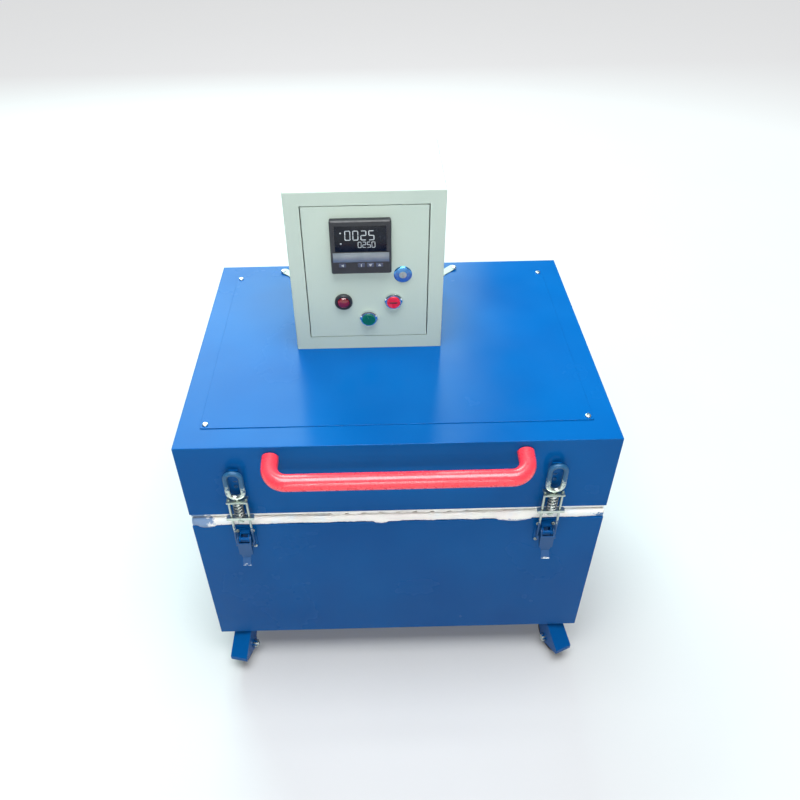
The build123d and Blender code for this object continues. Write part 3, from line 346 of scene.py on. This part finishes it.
def carry_over():
    """Give every CAD node its look: its own, or else its slot's."""
    for subpart in frame["record"]["subparts"]:
        slot = subpart["material_slot"]
        node = frame["nodes"][subpart["node"]]
        look = looks[node_looks.get(subpart["node"]) or slot_looks.get(slot, slot)]
        node.data.materials.clear()
        node.data.materials.append(look)


carry_over()


# ---------------------------------------------------------------- mesh helpers
def close_strip(bm, a, b):
    """Faces between two rings of points; a ring of one point closes to a tip."""
    count = max(len(a), len(b))
    for i in range(count):
        j = (i + 1) % count
        corners = (a[i % len(a)], a[j % len(a)], b[j % len(b)], b[i % len(b)])
        bm.faces.new(list(dict.fromkeys(corners)))


def bevelled(bm, faces, width):
    edges = list({edge for face in faces for edge in face.edges})
    bmesh.ops.bevel(bm, geom=edges, offset=width, segments=2, affect="EDGES", profile=0.5)


def block(bm, x, y, z, bevel):
    """Block between (low, high) limits, with bevelled edges."""
    prism(bm, [(x[0], z[0]), (x[1], z[0]), (x[1], z[1]), (x[0], z[1])],
          lambda u, v, far: (u, y[1] if far else y[0], v), bevel)


def prism(bm, outline, place, bevel=0.0):
    """Solid between two copies of an outline; place gives a corner from (u, v, far)."""
    near = [bm.verts.new(place(u, v, False)) for u, v in outline]
    far = [bm.verts.new(place(u, v, True)) for u, v in outline]
    faces = [bm.faces.new(near), bm.faces.new(far[::-1])]
    for i in range(len(outline)):
        j = (i + 1) % len(outline)
        faces.append(bm.faces.new((near[i], far[i], far[j], near[j])))
    if bevel:
        bevelled(bm, faces, bevel)


def hexagon(radius):
    return [(radius * cos(tau * k / 6), radius * sin(tau * k / 6)) for k in range(6)]


def ring(bm, centre, axis, radius, sides):
    """Points of a circle round an axis, or one point where its radius is 0."""
    axis = Vector(axis).normalized()
    across = axis.orthogonal().normalized()
    other = axis.cross(across)
    if radius == 0:
        return [bm.verts.new(centre)]
    return [bm.verts.new(centre + (across * cos(tau * i / sides) + other * sin(tau * i / sides)) * radius)
            for i in range(sides)]


def lathe(bm, profile, centre, axis, sides, closed=False):
    """Turned solid from (distance along the axis, radius) steps."""
    centre, axis = Vector(centre), Vector(axis).normalized()
    rings = [ring(bm, centre + axis * along, axis, radius, sides) for along, radius in profile]
    for a, b in zip(rings, rings[1:] + rings[:1] if closed else rings[1:]):
        close_strip(bm, a, b)
    for end in (rings[0], rings[-1]):
        if not closed and len(end) > 1:
            bm.faces.new(end)


def wire(bm, points, radius, sides):
    """Round wire through the points, with flat ends."""
    rings, normal = [], None
    for i, point in enumerate(points):
        ahead = (points[min(i + 1, len(points) - 1)] - points[max(i - 1, 0)]).normalized()
        normal = normal or ahead.orthogonal()
        normal = (normal - ahead * normal.dot(ahead)).normalized()
        other = ahead.cross(normal)
        rings.append([bm.verts.new(point + (normal * cos(tau * k / sides) + other * sin(tau * k / sides))
                                   * radius) for k in range(sides)])
    for a, b in zip(rings, rings[1:]):
        close_strip(bm, a, b)
    bm.faces.new(rings[0])
    bm.faces.new(rings[-1])


def piece(bm, name, body, look, stands_for=(), crease=32):
    """Make an object of the mesh, riding on a body and look. Edges sharper than the crease
    angle, in degrees, stay sharp."""
    bmesh.ops.recalc_face_normals(bm, faces=bm.faces)
    mesh = bpy.data.meshes.new(name)
    bm.to_mesh(mesh)
    bm.free()
    for face in mesh.polygons:
        face.use_smooth = True
    mesh.set_sharp_from_angle(angle=radians(crease))
    mesh.materials.append(looks[look])
    made = bpy.data.objects.new(name, mesh)
    bpy.context.scene.collection.objects.link(made)
    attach(made, body)
    if stands_for:
        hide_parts(*stands_for)
    return made


def drift(point, size, amount):
    """Smooth deterministic offset for hand-made shapes."""
    return noise.noise(Vector(point) / size) * amount


# ---------------------------------------------------------------- fibre
SEAL_INNER = (0.249, 0.164)  # half sizes of the hole in the seal
SEAL_STEP = 0.0035
# The seal's section: share of the way to the hole, bulge in mm, and share of the height.
SEAL_SECTION = [(1.0, 0.0, 0.0), (0.0, -0.3, 0.01), (0.0, 0.6, 0.12), (0.0, 1.3, 0.3), (0.0, 1.5, 0.5),
                (0.0, 1.2, 0.72), (0.0, 0.4, 0.88), (0.0, -0.8, 0.97), (0.03, 0.0, 1.0),
                (0.12, 0.0, 0.985), (0.4, 0.0, 1.0), (0.75, 0.0, 0.99), (1.0, 0.0, 1.0)]
LARGE_LUMPS, SMALL_LUMPS = (0.028, 0.0011), (0.006, 0.0006)  # size and height
# Tufts hang over the casing: size and height of their drift, the part of it that doesn't show, the share of
# the seal's height below which they start, and how far they stand off the casing.
TUFTS, TUFT_LEAST, TUFT_START, TUFT_OFF = (0.045, 0.011), 0.0026, 0.35, 0.0016
LINING_COLUMNS, LINING_ROWS, LINING_GAP = 3, 2, 0.0003
FOLDS, FOLD_HALF, FOLD_DEPTH = 8, 0.0055, 0.0085
EDGE_WIDTH, EDGE_DEPTH = 0.004, 0.0018  # rounding of a module's lower edges
MODULE_STEPS = (96, 24)  # mesh steps across the folds and along them
SIDE_HEIGHTS = (0.005, 0.011, 0.016)  # rings of points up a module's soft sides


def rectangle_walk(half_x, half_y, step):
    """Points round a rectangle, with the outward direction of each."""
    corners = [(-half_x, -half_y), (half_x, -half_y), (half_x, half_y), (-half_x, half_y)]
    outward = [(0, -1), (1, 0), (0, 1), (-1, 0)]
    for side in range(4):
        start, end = Vector(corners[side]), Vector(corners[(side + 1) % 4])
        count = round((end - start).length / step)
        for i in range(count):
            share = i / count
            lean = Vector(outward[side])
            if i == 0:
                lean = (lean + Vector(outward[side - 1])) * 0.6
            yield start.lerp(end, share), lean


def fibre_seal():
    """Blanket strip on the rim, cut by hand, with lumps and a few tufts over the casing's edge."""
    bottom, top = low("rim_seal").z, high("rim_seal").z
    half_x, half_y = high("rim_seal").x, high("rim_seal").y
    inner = Vector((SEAL_INNER[0] / half_x, SEAL_INNER[1] / half_y))
    bm = bmesh.new()
    rings = []
    for place, lean in rectangle_walk(half_x, half_y, SEAL_STEP):
        ring_of_points = []
        for share, out, height in SEAL_SECTION:
            flat = place.lerp(Vector((place.x * inner.x, place.y * inner.y)), share)
            z = bottom + (top - bottom) * height
            spot = (flat.x, flat.y, z)
            bulge = out * MM + drift(spot, *LARGE_LUMPS) + drift(spot, *SMALL_LUMPS)
            tuft = max(0.0, drift((flat.x, flat.y, 2.0), *TUFTS) - TUFT_LEAST)
            if 0.0 < height < TUFT_START and share == 0.0:
                z -= tuft * (TUFT_START - height) * 2.5
                bulge += tuft * 0.35 + (TUFT_OFF if tuft > 0.0004 else 0.0)
            flat = flat + lean * (bulge if share == 0.0 else 0.0)
            ring_of_points.append(bm.verts.new((flat.x, flat.y, min(z, top))))
        rings.append(ring_of_points)
    for a, b in zip(rings, rings[1:] + rings[:1]):
        close_strip(bm, a, b)
    seal = piece(bm, "fibre_seal", "kiln_body", "fibre", ["rim_seal"], 80)


def fibre_module(bm, x, y, z, across):
    """Folded blanket module: its folds show below as soft creases, square to x if across, else to y."""
    size = (x[1] - x[0], y[1] - y[0])
    steps = MODULE_STEPS if across else MODULE_STEPS[::-1]
    fold = size[0 if across else 1] / FOLDS

    def underside(u, v):
        along = (u if across else v) % fold
        crease = max(0.0, 1 - min(along, fold - along) / FOLD_HALF)
        edge = min(u, size[0] - u, v, size[1] - v)
        rounded = max(0.0, 1 - edge / EDGE_WIDTH) ** 2 * EDGE_DEPTH
        spot = (x[0] + u, y[0] + v, 0.0)
        lumps = abs(drift(spot, 0.02, 0.0016))
        return z[0] + crease ** 2 * FOLD_DEPTH + rounded + lumps + 0.0002

    grid = []
    for i in range(steps[0] + 1):
        u = size[0] * i / steps[0]
        grid.append([])
        for j in range(steps[1] + 1):
            v = size[1] * j / steps[1]
            grid[i].append(bm.verts.new((x[0] + u, y[0] + v, underside(u, v))))
    for i in range(steps[0]):
        for j in range(steps[1]):
            bm.faces.new((grid[i][j], grid[i + 1][j], grid[i + 1][j + 1], grid[i][j + 1]))
    rim = [grid[i][0] for i in range(steps[0])] + [grid[-1][j] for j in range(steps[1])]
    rim += [grid[i][-1] for i in range(steps[0], 0, -1)] + [grid[0][j] for j in range(steps[1], 0, -1)]
    middle_x, middle_y = (x[0] + x[1]) / 2, (y[0] + y[1]) / 2
    for height in (*(z[0] + rise for rise in SIDE_HEIGHTS), z[1]):
        above = []
        for vert in rim:
            spot = (vert.co.x, vert.co.y, height)
            push = drift(spot, 0.025, 0.0008) - 0.0004
            above.append(bm.verts.new((vert.co.x + push * (1 if vert.co.x > middle_x else -1),
                                       vert.co.y + push * (1 if vert.co.y > middle_y else -1), height)))
        close_strip(bm, rim, above)
        rim = above
    bm.faces.new(rim)


def lid_fibre():
    """Six modules of folded blanket that fill the lid, their folds crossing from one to the next."""
    start, end = low("lid_lining"), high("lid_lining")
    width, depth = (end.x - start.x) / LINING_COLUMNS, (end.y - start.y) / LINING_ROWS
    bm = bmesh.new()
    for i in range(LINING_COLUMNS):
        for j in range(LINING_ROWS):
            x, y = start.x + i * width, start.y + j * depth
            fibre_module(bm, (x, x + width - LINING_GAP), (y, y + depth - LINING_GAP), (start.z, end.z),
                         across=(i + j) % 2)
    lining = piece(bm, "lid_fibre_modules", "lid", "lining_fibre", ["lid_lining"], 80)


# ---------------------------------------------------------------- bricks and elements
GROOVE_Z = [0.240, 0.302, 0.364]
GROOVE_HALF, GROOVE_DEPTH = 0.007, 0.014
COURSE_Z = [0.205, 0.271, 0.333, 0.410]
CHAMBER_HALF = (0.237, 0.152)
BED_JOINT, HEAD_JOINT = 0.0002, 0.0003  # half of the gap between courses, and between bricks
BRICK_WEAR = 0.0009
FLOOR_COLUMNS, FLOOR_ROWS = 5, 4
COIL_RADIUS, WIRE_RADIUS, COIL_PITCH, POINTS_PER_TURN = 0.0041, 0.0009, 0.0056, 9
COIL_FADE = 14  # points over which a coil runs out into its straight tail
ELEMENT_HALF, ELEMENT_BEND = (0.243, 0.158), 0.010
TERMINAL_X, TERMINAL_RADIUS = 0.030, 0.003
NUT_RADIUS, NUT_HEIGHT, NUTS_FROM_END = 0.0058, 0.005, (0.016, 0.009)


def wall_bricks(bm, along, face, thickness, place):
    """One wall: three courses of grooved bricks, with the joints staggered."""
    start, end = along
    for course, groove in enumerate(GROOVE_Z):
        z0, z1 = COURSE_Z[course] + BED_JOINT, COURSE_Z[course + 1] - BED_JOINT
        cuts = [0.0, 0.5, 1.0] if course % 2 == 0 else [0.0, 0.25, 0.75, 1.0]
        for a, b in zip(cuts, cuts[1:]):
            u0, u1 = start + (end - start) * a + HEAD_JOINT, start + (end - start) * b - HEAD_JOINT
            back = abs(drift((u0, z0, face), 0.05, 0.0012))
            outline = [(back, z0), (thickness, z0), (thickness, z1), (back, z1),
                       (back, groove + GROOVE_HALF), (GROOVE_DEPTH, groove + GROOVE_HALF * 0.8),
                       (GROOVE_DEPTH, groove - GROOVE_HALF * 0.8), (back, groove - GROOVE_HALF)]
            prism(bm, outline, lambda t, z, far: place(u1 if far else u0, face, t, z), BRICK_WEAR)


def bricks():
    """Firebrick walls round the chamber and the floor bricks under them."""
    outer, floor_low = high("brick_walls"), low("brick_floor")
    chamber_x, chamber_y = CHAMBER_HALF
    thickness = outer.x - chamber_x
    bm = bmesh.new()
    for side in (-1, 1):
        wall_bricks(bm, (-outer.y, outer.y), side * chamber_x, thickness,
                    lambda u, face, t, z, side=side: (face + side * t, u, z))
        wall_bricks(bm, (-chamber_x, chamber_x), side * chamber_y, thickness,
                    lambda u, face, t, z, side=side: (u, face + side * t, z))
    piece(bm, "firebrick_walls", "kiln_body", "firebrick", ["brick_walls"], 25)
    bm = bmesh.new()
    width, depth = 2 * outer.x / FLOOR_COLUMNS, 2 * outer.y / FLOOR_ROWS
    for i in range(FLOOR_COLUMNS):
        for j in range(FLOOR_ROWS):
            x, y = -outer.x + i * width, -outer.y + j * depth
            sunk = abs(drift((x, y, 0), 0.07, 0.0008))
            block(bm, (x + HEAD_JOINT, x + width - HEAD_JOINT), (y + HEAD_JOINT, y + depth - HEAD_JOINT),
                  (floor_low.z, high("brick_floor").z - sunk), BRICK_WEAR)
    piece(bm, "firebrick_floor", "kiln_body", "firebrick", ["brick_floor"], 25)


def groove_route(half_x, half_y, start_x, step):
    """Points and directions along the groove, from the right terminal round to the left one."""
    radius = ELEMENT_BEND
    corners = [Vector((start_x, half_y)), Vector((half_x, half_y)), Vector((half_x, -half_y)),
               Vector((-half_x, -half_y)), Vector((-half_x, half_y)), Vector((-start_x, half_y))]
    points = [corners[0]]
    for before, corner, after in zip(corners, corners[1:], corners[2:]):
        into, out = (corner - before).normalized(), (after - corner).normalized()
        centre = corner - into * radius + out * radius
        for k in range(9):
            turn = pi / 2 * k / 8
            points.append(centre - out * radius * cos(turn) + into * radius * sin(turn))
    points.append(corners[-1])
    route = []
    for a, b in zip(points, points[1:]):
        length = (b - a).length
        route += [(a + (b - a) * (i * step / length), (b - a) / length) for i in range(int(length / step))]
    return route


def elements():
    """Wound wire in each groove, with its straight tails through the rear wall and two nuts on each."""
    half_x, half_y = ELEMENT_HALF
    tail = high("heating_elements").y
    bm = bmesh.new()
    for level in GROOVE_Z:
        route = groove_route(half_x, half_y, TERMINAL_X, COIL_PITCH / POINTS_PER_TURN)
        points = []
        for i, (place, ahead) in enumerate(route):
            turn = tau * i / POINTS_PER_TURN
            share = min(1.0, i / COIL_FADE, (len(route) - 1 - i) / COIL_FADE)
            side = Vector((ahead.y, -ahead.x)) * cos(turn) * COIL_RADIUS * share
            rise = sin(turn) * COIL_RADIUS * share
            points.append(Vector((place.x + side.x, place.y + side.y, level + rise)))
        wire(bm, points, WIRE_RADIUS, 6)
        for x in (-TERMINAL_X, TERMINAL_X):
            lathe(bm, [(0.0, 0.0), (0.001, 0.0024), (0.003, TERMINAL_RADIUS),
                       (tail - half_y - 0.001, TERMINAL_RADIUS), (tail - half_y, 0.0022)],
                  (x, half_y, level), (0, 1, 0), 20)
            for from_end in NUTS_FROM_END:
                start = tail - from_end
                prism(bm, hexagon(NUT_RADIUS),
                      lambda u, v, far: (x + u, start + (NUT_HEIGHT if far else 0), level + v), 0.0006)
    piece(bm, "wound_elements", "kiln_body", "element_alloy", ["heating_elements"], 40)


# ---------------------------------------------------------------- controller, lamp and buttons
SEGMENT_ENDS = {"a": (0, 2, 1, 2), "b": (1, 2, 1, 1), "c": (1, 1, 1, 0), "d": (0, 0, 1, 0),
                "e": (0, 1, 0, 0), "f": (0, 2, 0, 1), "g": (0, 1, 1, 1)}
DIGITS = {"0": "abcdef", "2": "abged", "5": "afgcd"}
# The controller's front, in metres from the middle of its face.
WINDOW_HALF, WINDOW_Z, WINDOW_SUNK = 0.0405, (-0.0065, 0.0385), (0.0003, 0.0012)
BAND_HALF, BAND_Z, LEDGE_Z = 0.0445, (-0.0252, -0.0082), (-0.0106, -0.0082)
BAND_OUT, LEDGE_OUT = 0.0003, 0.0009
# Rows of figures: text, lower left corner, size of a figure, and pitch.
FIGURE_ROWS = [("0025", (-0.0240, 0.0145), (0.0078, 0.0160), 0.0124),
               ("0250", (-0.0040, 0.0010), (0.0048, 0.0098), 0.0072)]
FIGURE_DEPTH, SIGN_DEPTH, SIGN_SUNK = 0.00015, 0.00015, 0.0002
DOT_X, DOTS_Z = -0.031, (0.027, 0.008)
KEY_SIGNS = [[(-2.2, 0.0), (2.0, 2.3), (2.0, -2.3)],
             [(-0.6, -2.4), (0.6, -2.4), (0.6, 2.4), (-0.6, 2.4)],
             [(-2.4, 1.6), (0.0, -2.2), (2.4, 1.6)],
             [(-2.4, -1.6), (0.0, 2.2), (2.4, -1.6)]]  # outlines in mm


def flat_bar(bm, start, end, width, y, depth):
    """Pointed bar that lies on a face looking towards -Y."""
    start, end = Vector(start), Vector(end)
    ahead = (end - start).normalized()
    side = Vector((-ahead.y, ahead.x)) * width / 2
    tip = ahead * width / 2
    outline = [start, start + tip + side, end - tip + side, end, end - tip - side, start + tip - side]
    prism(bm, [tuple(point) for point in outline], lambda u, v, far: (u, y - (depth if far else 0), v))


def digits(bm, text, x, z, size, pitch, y):
    """Seven-segment figures, from their lower left corner."""
    width, height = size
    for place, figure in enumerate(text):
        for segment in DIGITS[figure]:
            ends = SEGMENT_ENDS[segment]
            points = [(x + place * pitch + ends[k] * width, z + ends[k + 1] * height / 2) for k in (0, 2)]
            flat_bar(bm, *points, width * 0.19, y, FIGURE_DEPTH)


def controller_front():
    """Window with two rows of figures, two lamps, the silver band and the signs on the keys."""
    middle_x = (low("temperature_controller").x + high("temperature_controller").x) / 2
    middle_z = (low("temperature_controller").z + high("temperature_controller").z) / 2
    face = low("temperature_controller").y
    front = face + WINDOW_SUNK[0]
    bm = bmesh.new()
    block(bm, (middle_x - WINDOW_HALF, middle_x + WINDOW_HALF), (front, face + WINDOW_SUNK[1]),
          (middle_z + WINDOW_Z[0], middle_z + WINDOW_Z[1]), 0.0003)
    piece(bm, "display_window", "cabinet_door", "display_glass")
    bm = bmesh.new()
    for text, (x, z), size, pitch in FIGURE_ROWS:
        digits(bm, text, middle_x + x, middle_z + z, size, pitch, front)
    piece(bm, "display_figures", "cabinet_door", "figures")
    bm = bmesh.new()
    for z in DOTS_Z:
        lathe(bm, [(0.0, 0.0014), (0.0003, 0.0011), (0.0004, 0.0)],
              (middle_x + DOT_X, front, middle_z + z), (0, -1, 0), 16)
    piece(bm, "display_dots", "cabinet_door", "figures")
    bm = bmesh.new()
    block(bm, (middle_x - BAND_HALF, middle_x + BAND_HALF), (face - BAND_OUT, face),
          (middle_z + BAND_Z[0], middle_z + BAND_Z[1]), 0.0001)
    block(bm, (middle_x - BAND_HALF, middle_x + BAND_HALF), (face - LEDGE_OUT, face - BAND_OUT),
          (middle_z + LEDGE_Z[0], middle_z + LEDGE_Z[1]), 0.0002)
    piece(bm, "silver_band", "cabinet_door", "silver_band")
    for number, outline in enumerate(KEY_SIGNS, 1):
        key = f"controller_key_{number}"
        centre = middle(key)
        bm = bmesh.new()
        prism(bm, [(centre.x + u * MM, centre.z + v * MM) for u, v in outline],
              lambda u, v, far: (u, low(key).y - (SIGN_DEPTH if far else -SIGN_SUNK), v))
        # Painted light: the printed signs take the lit figures' look and glow faintly.
        piece(bm, f"key_sign_{number}", f"key_{number}", "figures")


def lamp():
    """Black bezel with a rounded edge, and a lens pressed in rings of facets."""
    centre, front = middle("indicator_lamp"), low("cabinet_door").y
    place = (centre.x, front, centre.z)
    bm = bmesh.new()
    lathe(bm, [(-0.040, 0.0), (-0.040, 0.0108), (0.0, 0.0108), (0.0, 0.0147), (0.0046, 0.0147),
               (0.0060, 0.0134), (0.0060, 0.0112), (0.0052, 0.0106), (-0.002, 0.0106), (-0.002, 0.0)],
          place, (0, -1, 0), 64)
    piece(bm, "lamp_bezel", "cabinet_door", "black_plastic", ["indicator_lamp"])
    bm = bmesh.new()
    lathe(bm, [(-0.0018, 0.0), (-0.0018, 0.0103), (0.0052, 0.0103), (0.0066, 0.0094), (0.0074, 0.0080),
               (0.0080, 0.0056), (0.0084, 0.0028), (0.0086, 0.0)], place, (0, -1, 0), 18)
    piece(bm, "lamp_lens", "cabinet_door", "lamp_lens", ["indicator_lamp"], 4)


def stop_mark():
    """Darker bar across the stop button."""
    centre, front = middle("stop_button"), low("stop_button").y
    bm = bmesh.new()
    block(bm, (centre.x - 0.0060, centre.x + 0.0060), (front - 0.0003, front + 0.0002),
          (centre.z - 0.0016, centre.z + 0.0016), 0.00012)
    piece(bm, "stop_mark", "stop_button", "stop_mark")


# ---------------------------------------------------------------- caster wheels
CORNERS = ("front_left", "front_right", "rear_left", "rear_right")
# Half sections as (distance from the wheel's middle, radius).
TYRE = [(0.0, 0.0325), (0.0045, 0.0324), (0.0078, 0.0315), (0.0100, 0.0292), (0.0108, 0.0262),
        (0.0104, 0.0240), (0.0088, 0.0226), (0.0060, 0.0222)]
CENTRE = [(0.0070, 0.0223), (0.0088, 0.0214), (0.0088, 0.0190), (0.0052, 0.0176), (0.0052, 0.0112),
          (0.0105, 0.0096), (0.0125, 0.0088), (0.0125, 0.0042)]
SPOKES, SPOKE_HALF = 6, 0.0078
SPOKE = [(0.0098, -0.0011), (0.0188, -0.0009), (0.0188, 0.0009), (0.0098, 0.0011)]
AXLE_HEAD, AXLE_NUT, AXLE_NUT_RADIUS = (-0.0219, -0.0163), (0.0163, 0.0236), 0.0077
AXLE_END = [(0.0236, 0.0041), (0.0258, 0.0041), (0.0264, 0.0034)]


def wheel_axis(corner):
    """Direction of a caster's axle, from the joint of its wheel."""
    joints = frame["record"]["behaviour"]["joints"]
    return Vector(next(joint["axis"] for joint in joints if joint["name"] == f"wheel_{corner}"))


def wheels():
    """Rubber tyre with shoulders on a ribbed plastic centre with its bearing."""
    for corner in CORNERS:
        node, body = f"caster_wheel_{corner}", f"wheel_{corner}"
        centre, axis = middle(node), wheel_axis(corner)
        bm = bmesh.new()
        lathe(bm, [(-a, r) for a, r in TYRE[::-1]] + TYRE[1:], centre, axis, 72, closed=True)
        piece(bm, f"tyre_{corner}", body, "rubber", [node])
        bm = bmesh.new()
        lathe(bm, [(-a, r) for a, r in CENTRE[::-1]] + CENTRE, centre, axis, 72, closed=True)
        up = Vector((0, 0, 1))
        ahead = axis.cross(up).normalized()
        for k in range(SPOKES):
            turn = tau * k / SPOKES
            out = up * cos(turn) + ahead * sin(turn)
            side = axis.cross(out)
            prism(bm, SPOKE, lambda u, v, far: centre + out * u + side * v
                  + axis * (SPOKE_HALF if far else -SPOKE_HALF), 0.0003)
        piece(bm, f"wheel_centre_{corner}", body, "wheel_centre", [node])


def axle_nuts():
    """Plated nuts and bolt heads on the caster axles, which stay bare where the forks are painted."""
    for corner in CORNERS:
        centre, axis = middle(f"caster_wheel_{corner}"), wheel_axis(corner)
        ahead = axis.cross(Vector((0, 0, 1))).normalized()
        bm = bmesh.new()
        for start, end in (AXLE_HEAD, AXLE_NUT):
            prism(bm, hexagon(AXLE_NUT_RADIUS), lambda u, v, far: centre + ahead * u + Vector((0, 0, v))
                  + axis * (end if far else start), 0.0007)
        lathe(bm, AXLE_END, centre, axis, 24)
        piece(bm, f"axle_nuts_{corner}", f"swivel_{corner}", "zinc_steel")


axle_nuts()
fibre_seal()
lid_fibre()
bricks()
elements()
controller_front()
lamp()
stop_mark()
wheels()


# ---------------------------------------------------------------- floor, light and camera
def aimed(location, target):
    """Matrix that stands at a place and looks at a target."""
    location, target = Vector(location), Vector(target)
    return Matrix.Translation(location) @ (target - location).to_track_quat("-Z", "Y").to_matrix().to_4x4()


def soft_light(name, location, target, size, power, tint, spread=180):
    """Rectangular lamp that stands at a place and faces a target; power in watts, spread in degrees."""
    light = bpy.data.lights.new(name, "AREA")
    light.shape = "RECTANGLE"
    light.size, light.size_y = size
    light.energy = power
    light.spread = radians(spread)
    light.color = tint
    lamp = bpy.data.objects.new(name, light)
    lamp.matrix_world = aimed(location, target)
    bpy.context.scene.collection.objects.link(lamp)


def floor_look():
    """Pale paper that glows as painted light, more brightly with the distance from the object."""
    s = Surface("floor_paper", 0.8, Emission_Color=(1.0, 1.0, 1.0, 1.0))
    s.colour(s.blend(s.noise(3.0), rgb(196, 197, 198), rgb(191, 193, 195)))
    reach = s.add("ShaderNodeVectorMath", {0: s.place}, operation="LENGTH").outputs["Value"]
    # Painted light: the floor glows faintly near the object and more strongly far from it.
    s.put(s.shader.inputs["Emission Strength"], s.between(reach, 0.7, 3.0, 0.10, 0.62))
    return s.relief((s.noise(90.0), 0.0002)).material


def floor():
    mesh = bpy.data.meshes.new("floor")
    half = 30.0
    mesh.from_pydata([(-half, -half, 0), (half, -half, 0), (half, half, 0), (-half, half, 0)], [],
                     [(0, 1, 2, 3)])
    mesh.materials.append(floor_look())
    slab = bpy.data.objects.new("floor", mesh)
    bpy.context.scene.collection.objects.link(slab)


def background(node, colour, strength):
    node.inputs["Color"].default_value = colour
    node.inputs["Strength"].default_value = strength
    return node.outputs["Background"]


def sky():
    """A dim sky as a light, and a pale one where it is seen directly."""
    world = bpy.data.worlds.new("studio")
    bpy.context.scene.world = world
    world.use_nodes = True
    nodes, links = world.node_tree.nodes, world.node_tree.links
    light = background(nodes["Background"], (0.92, 0.96, 1.0, 1.0), 0.15)
    backdrop = background(nodes.new("ShaderNodeBackground"), (0.93, 0.96, 1.0, 1.0), 0.8)
    seen, both = nodes.new("ShaderNodeLightPath"), nodes.new("ShaderNodeMixShader")
    links.new(seen.outputs["Is Camera Ray"], both.inputs["Fac"])
    links.new(light, both.inputs[1])
    links.new(backdrop, both.inputs[2])
    links.new(both.outputs["Shader"], nodes["World Output"].inputs["Surface"])


def lights():
    """A large overhead lamp, a cool one behind that the lid's top mirrors, and two weak ones in front."""
    soft_light("overhead", (0.0, -0.5, 3.0), (0, 0.0, 0.5), (2.0, 1.6), 120.0, (0.97, 0.99, 1.0))
    soft_light("back_glow", (-0.75, 2.6, 2.8), (-0.75, 0, 2.0), (2.6, 2.2), 180.0, (0.71, 1.0, 0.95))
    soft_light("cabinet_fill", (-0.05, -1.7, 1.35), (-0.04, 0, 0.72), (0.6, 0.5), 0.45,
               (1.0, 0.99, 0.95), 28)
    soft_light("seal_fill", (0.0, -2.4, 0.9), (0, 0, 0.42), (1.6, 0.3), 10.5, (1.0, 1.0, 0.96))


def camera():
    """Camera above the front, looking down on the lid. Its place, angles, lens and shift were solved
    together from the casing's and the cabinet's edges."""
    view = bpy.data.cameras.new("camera")
    view.sensor_width = 36.0
    view.lens = 32.38
    view.shift_x, view.shift_y = 0.025, -0.08125
    stand = bpy.data.objects.new("camera", view)
    stand.location = (-0.02663, -1.00977, 1.3802)
    stand.rotation_euler = (radians(52.461), radians(0.928), radians(-0.944))
    bpy.context.scene.collection.objects.link(stand)
    bpy.context.scene.camera = stand


floor()
sky()
lights()
camera()
bpy.context.scene.view_settings.view_transform = "Standard"
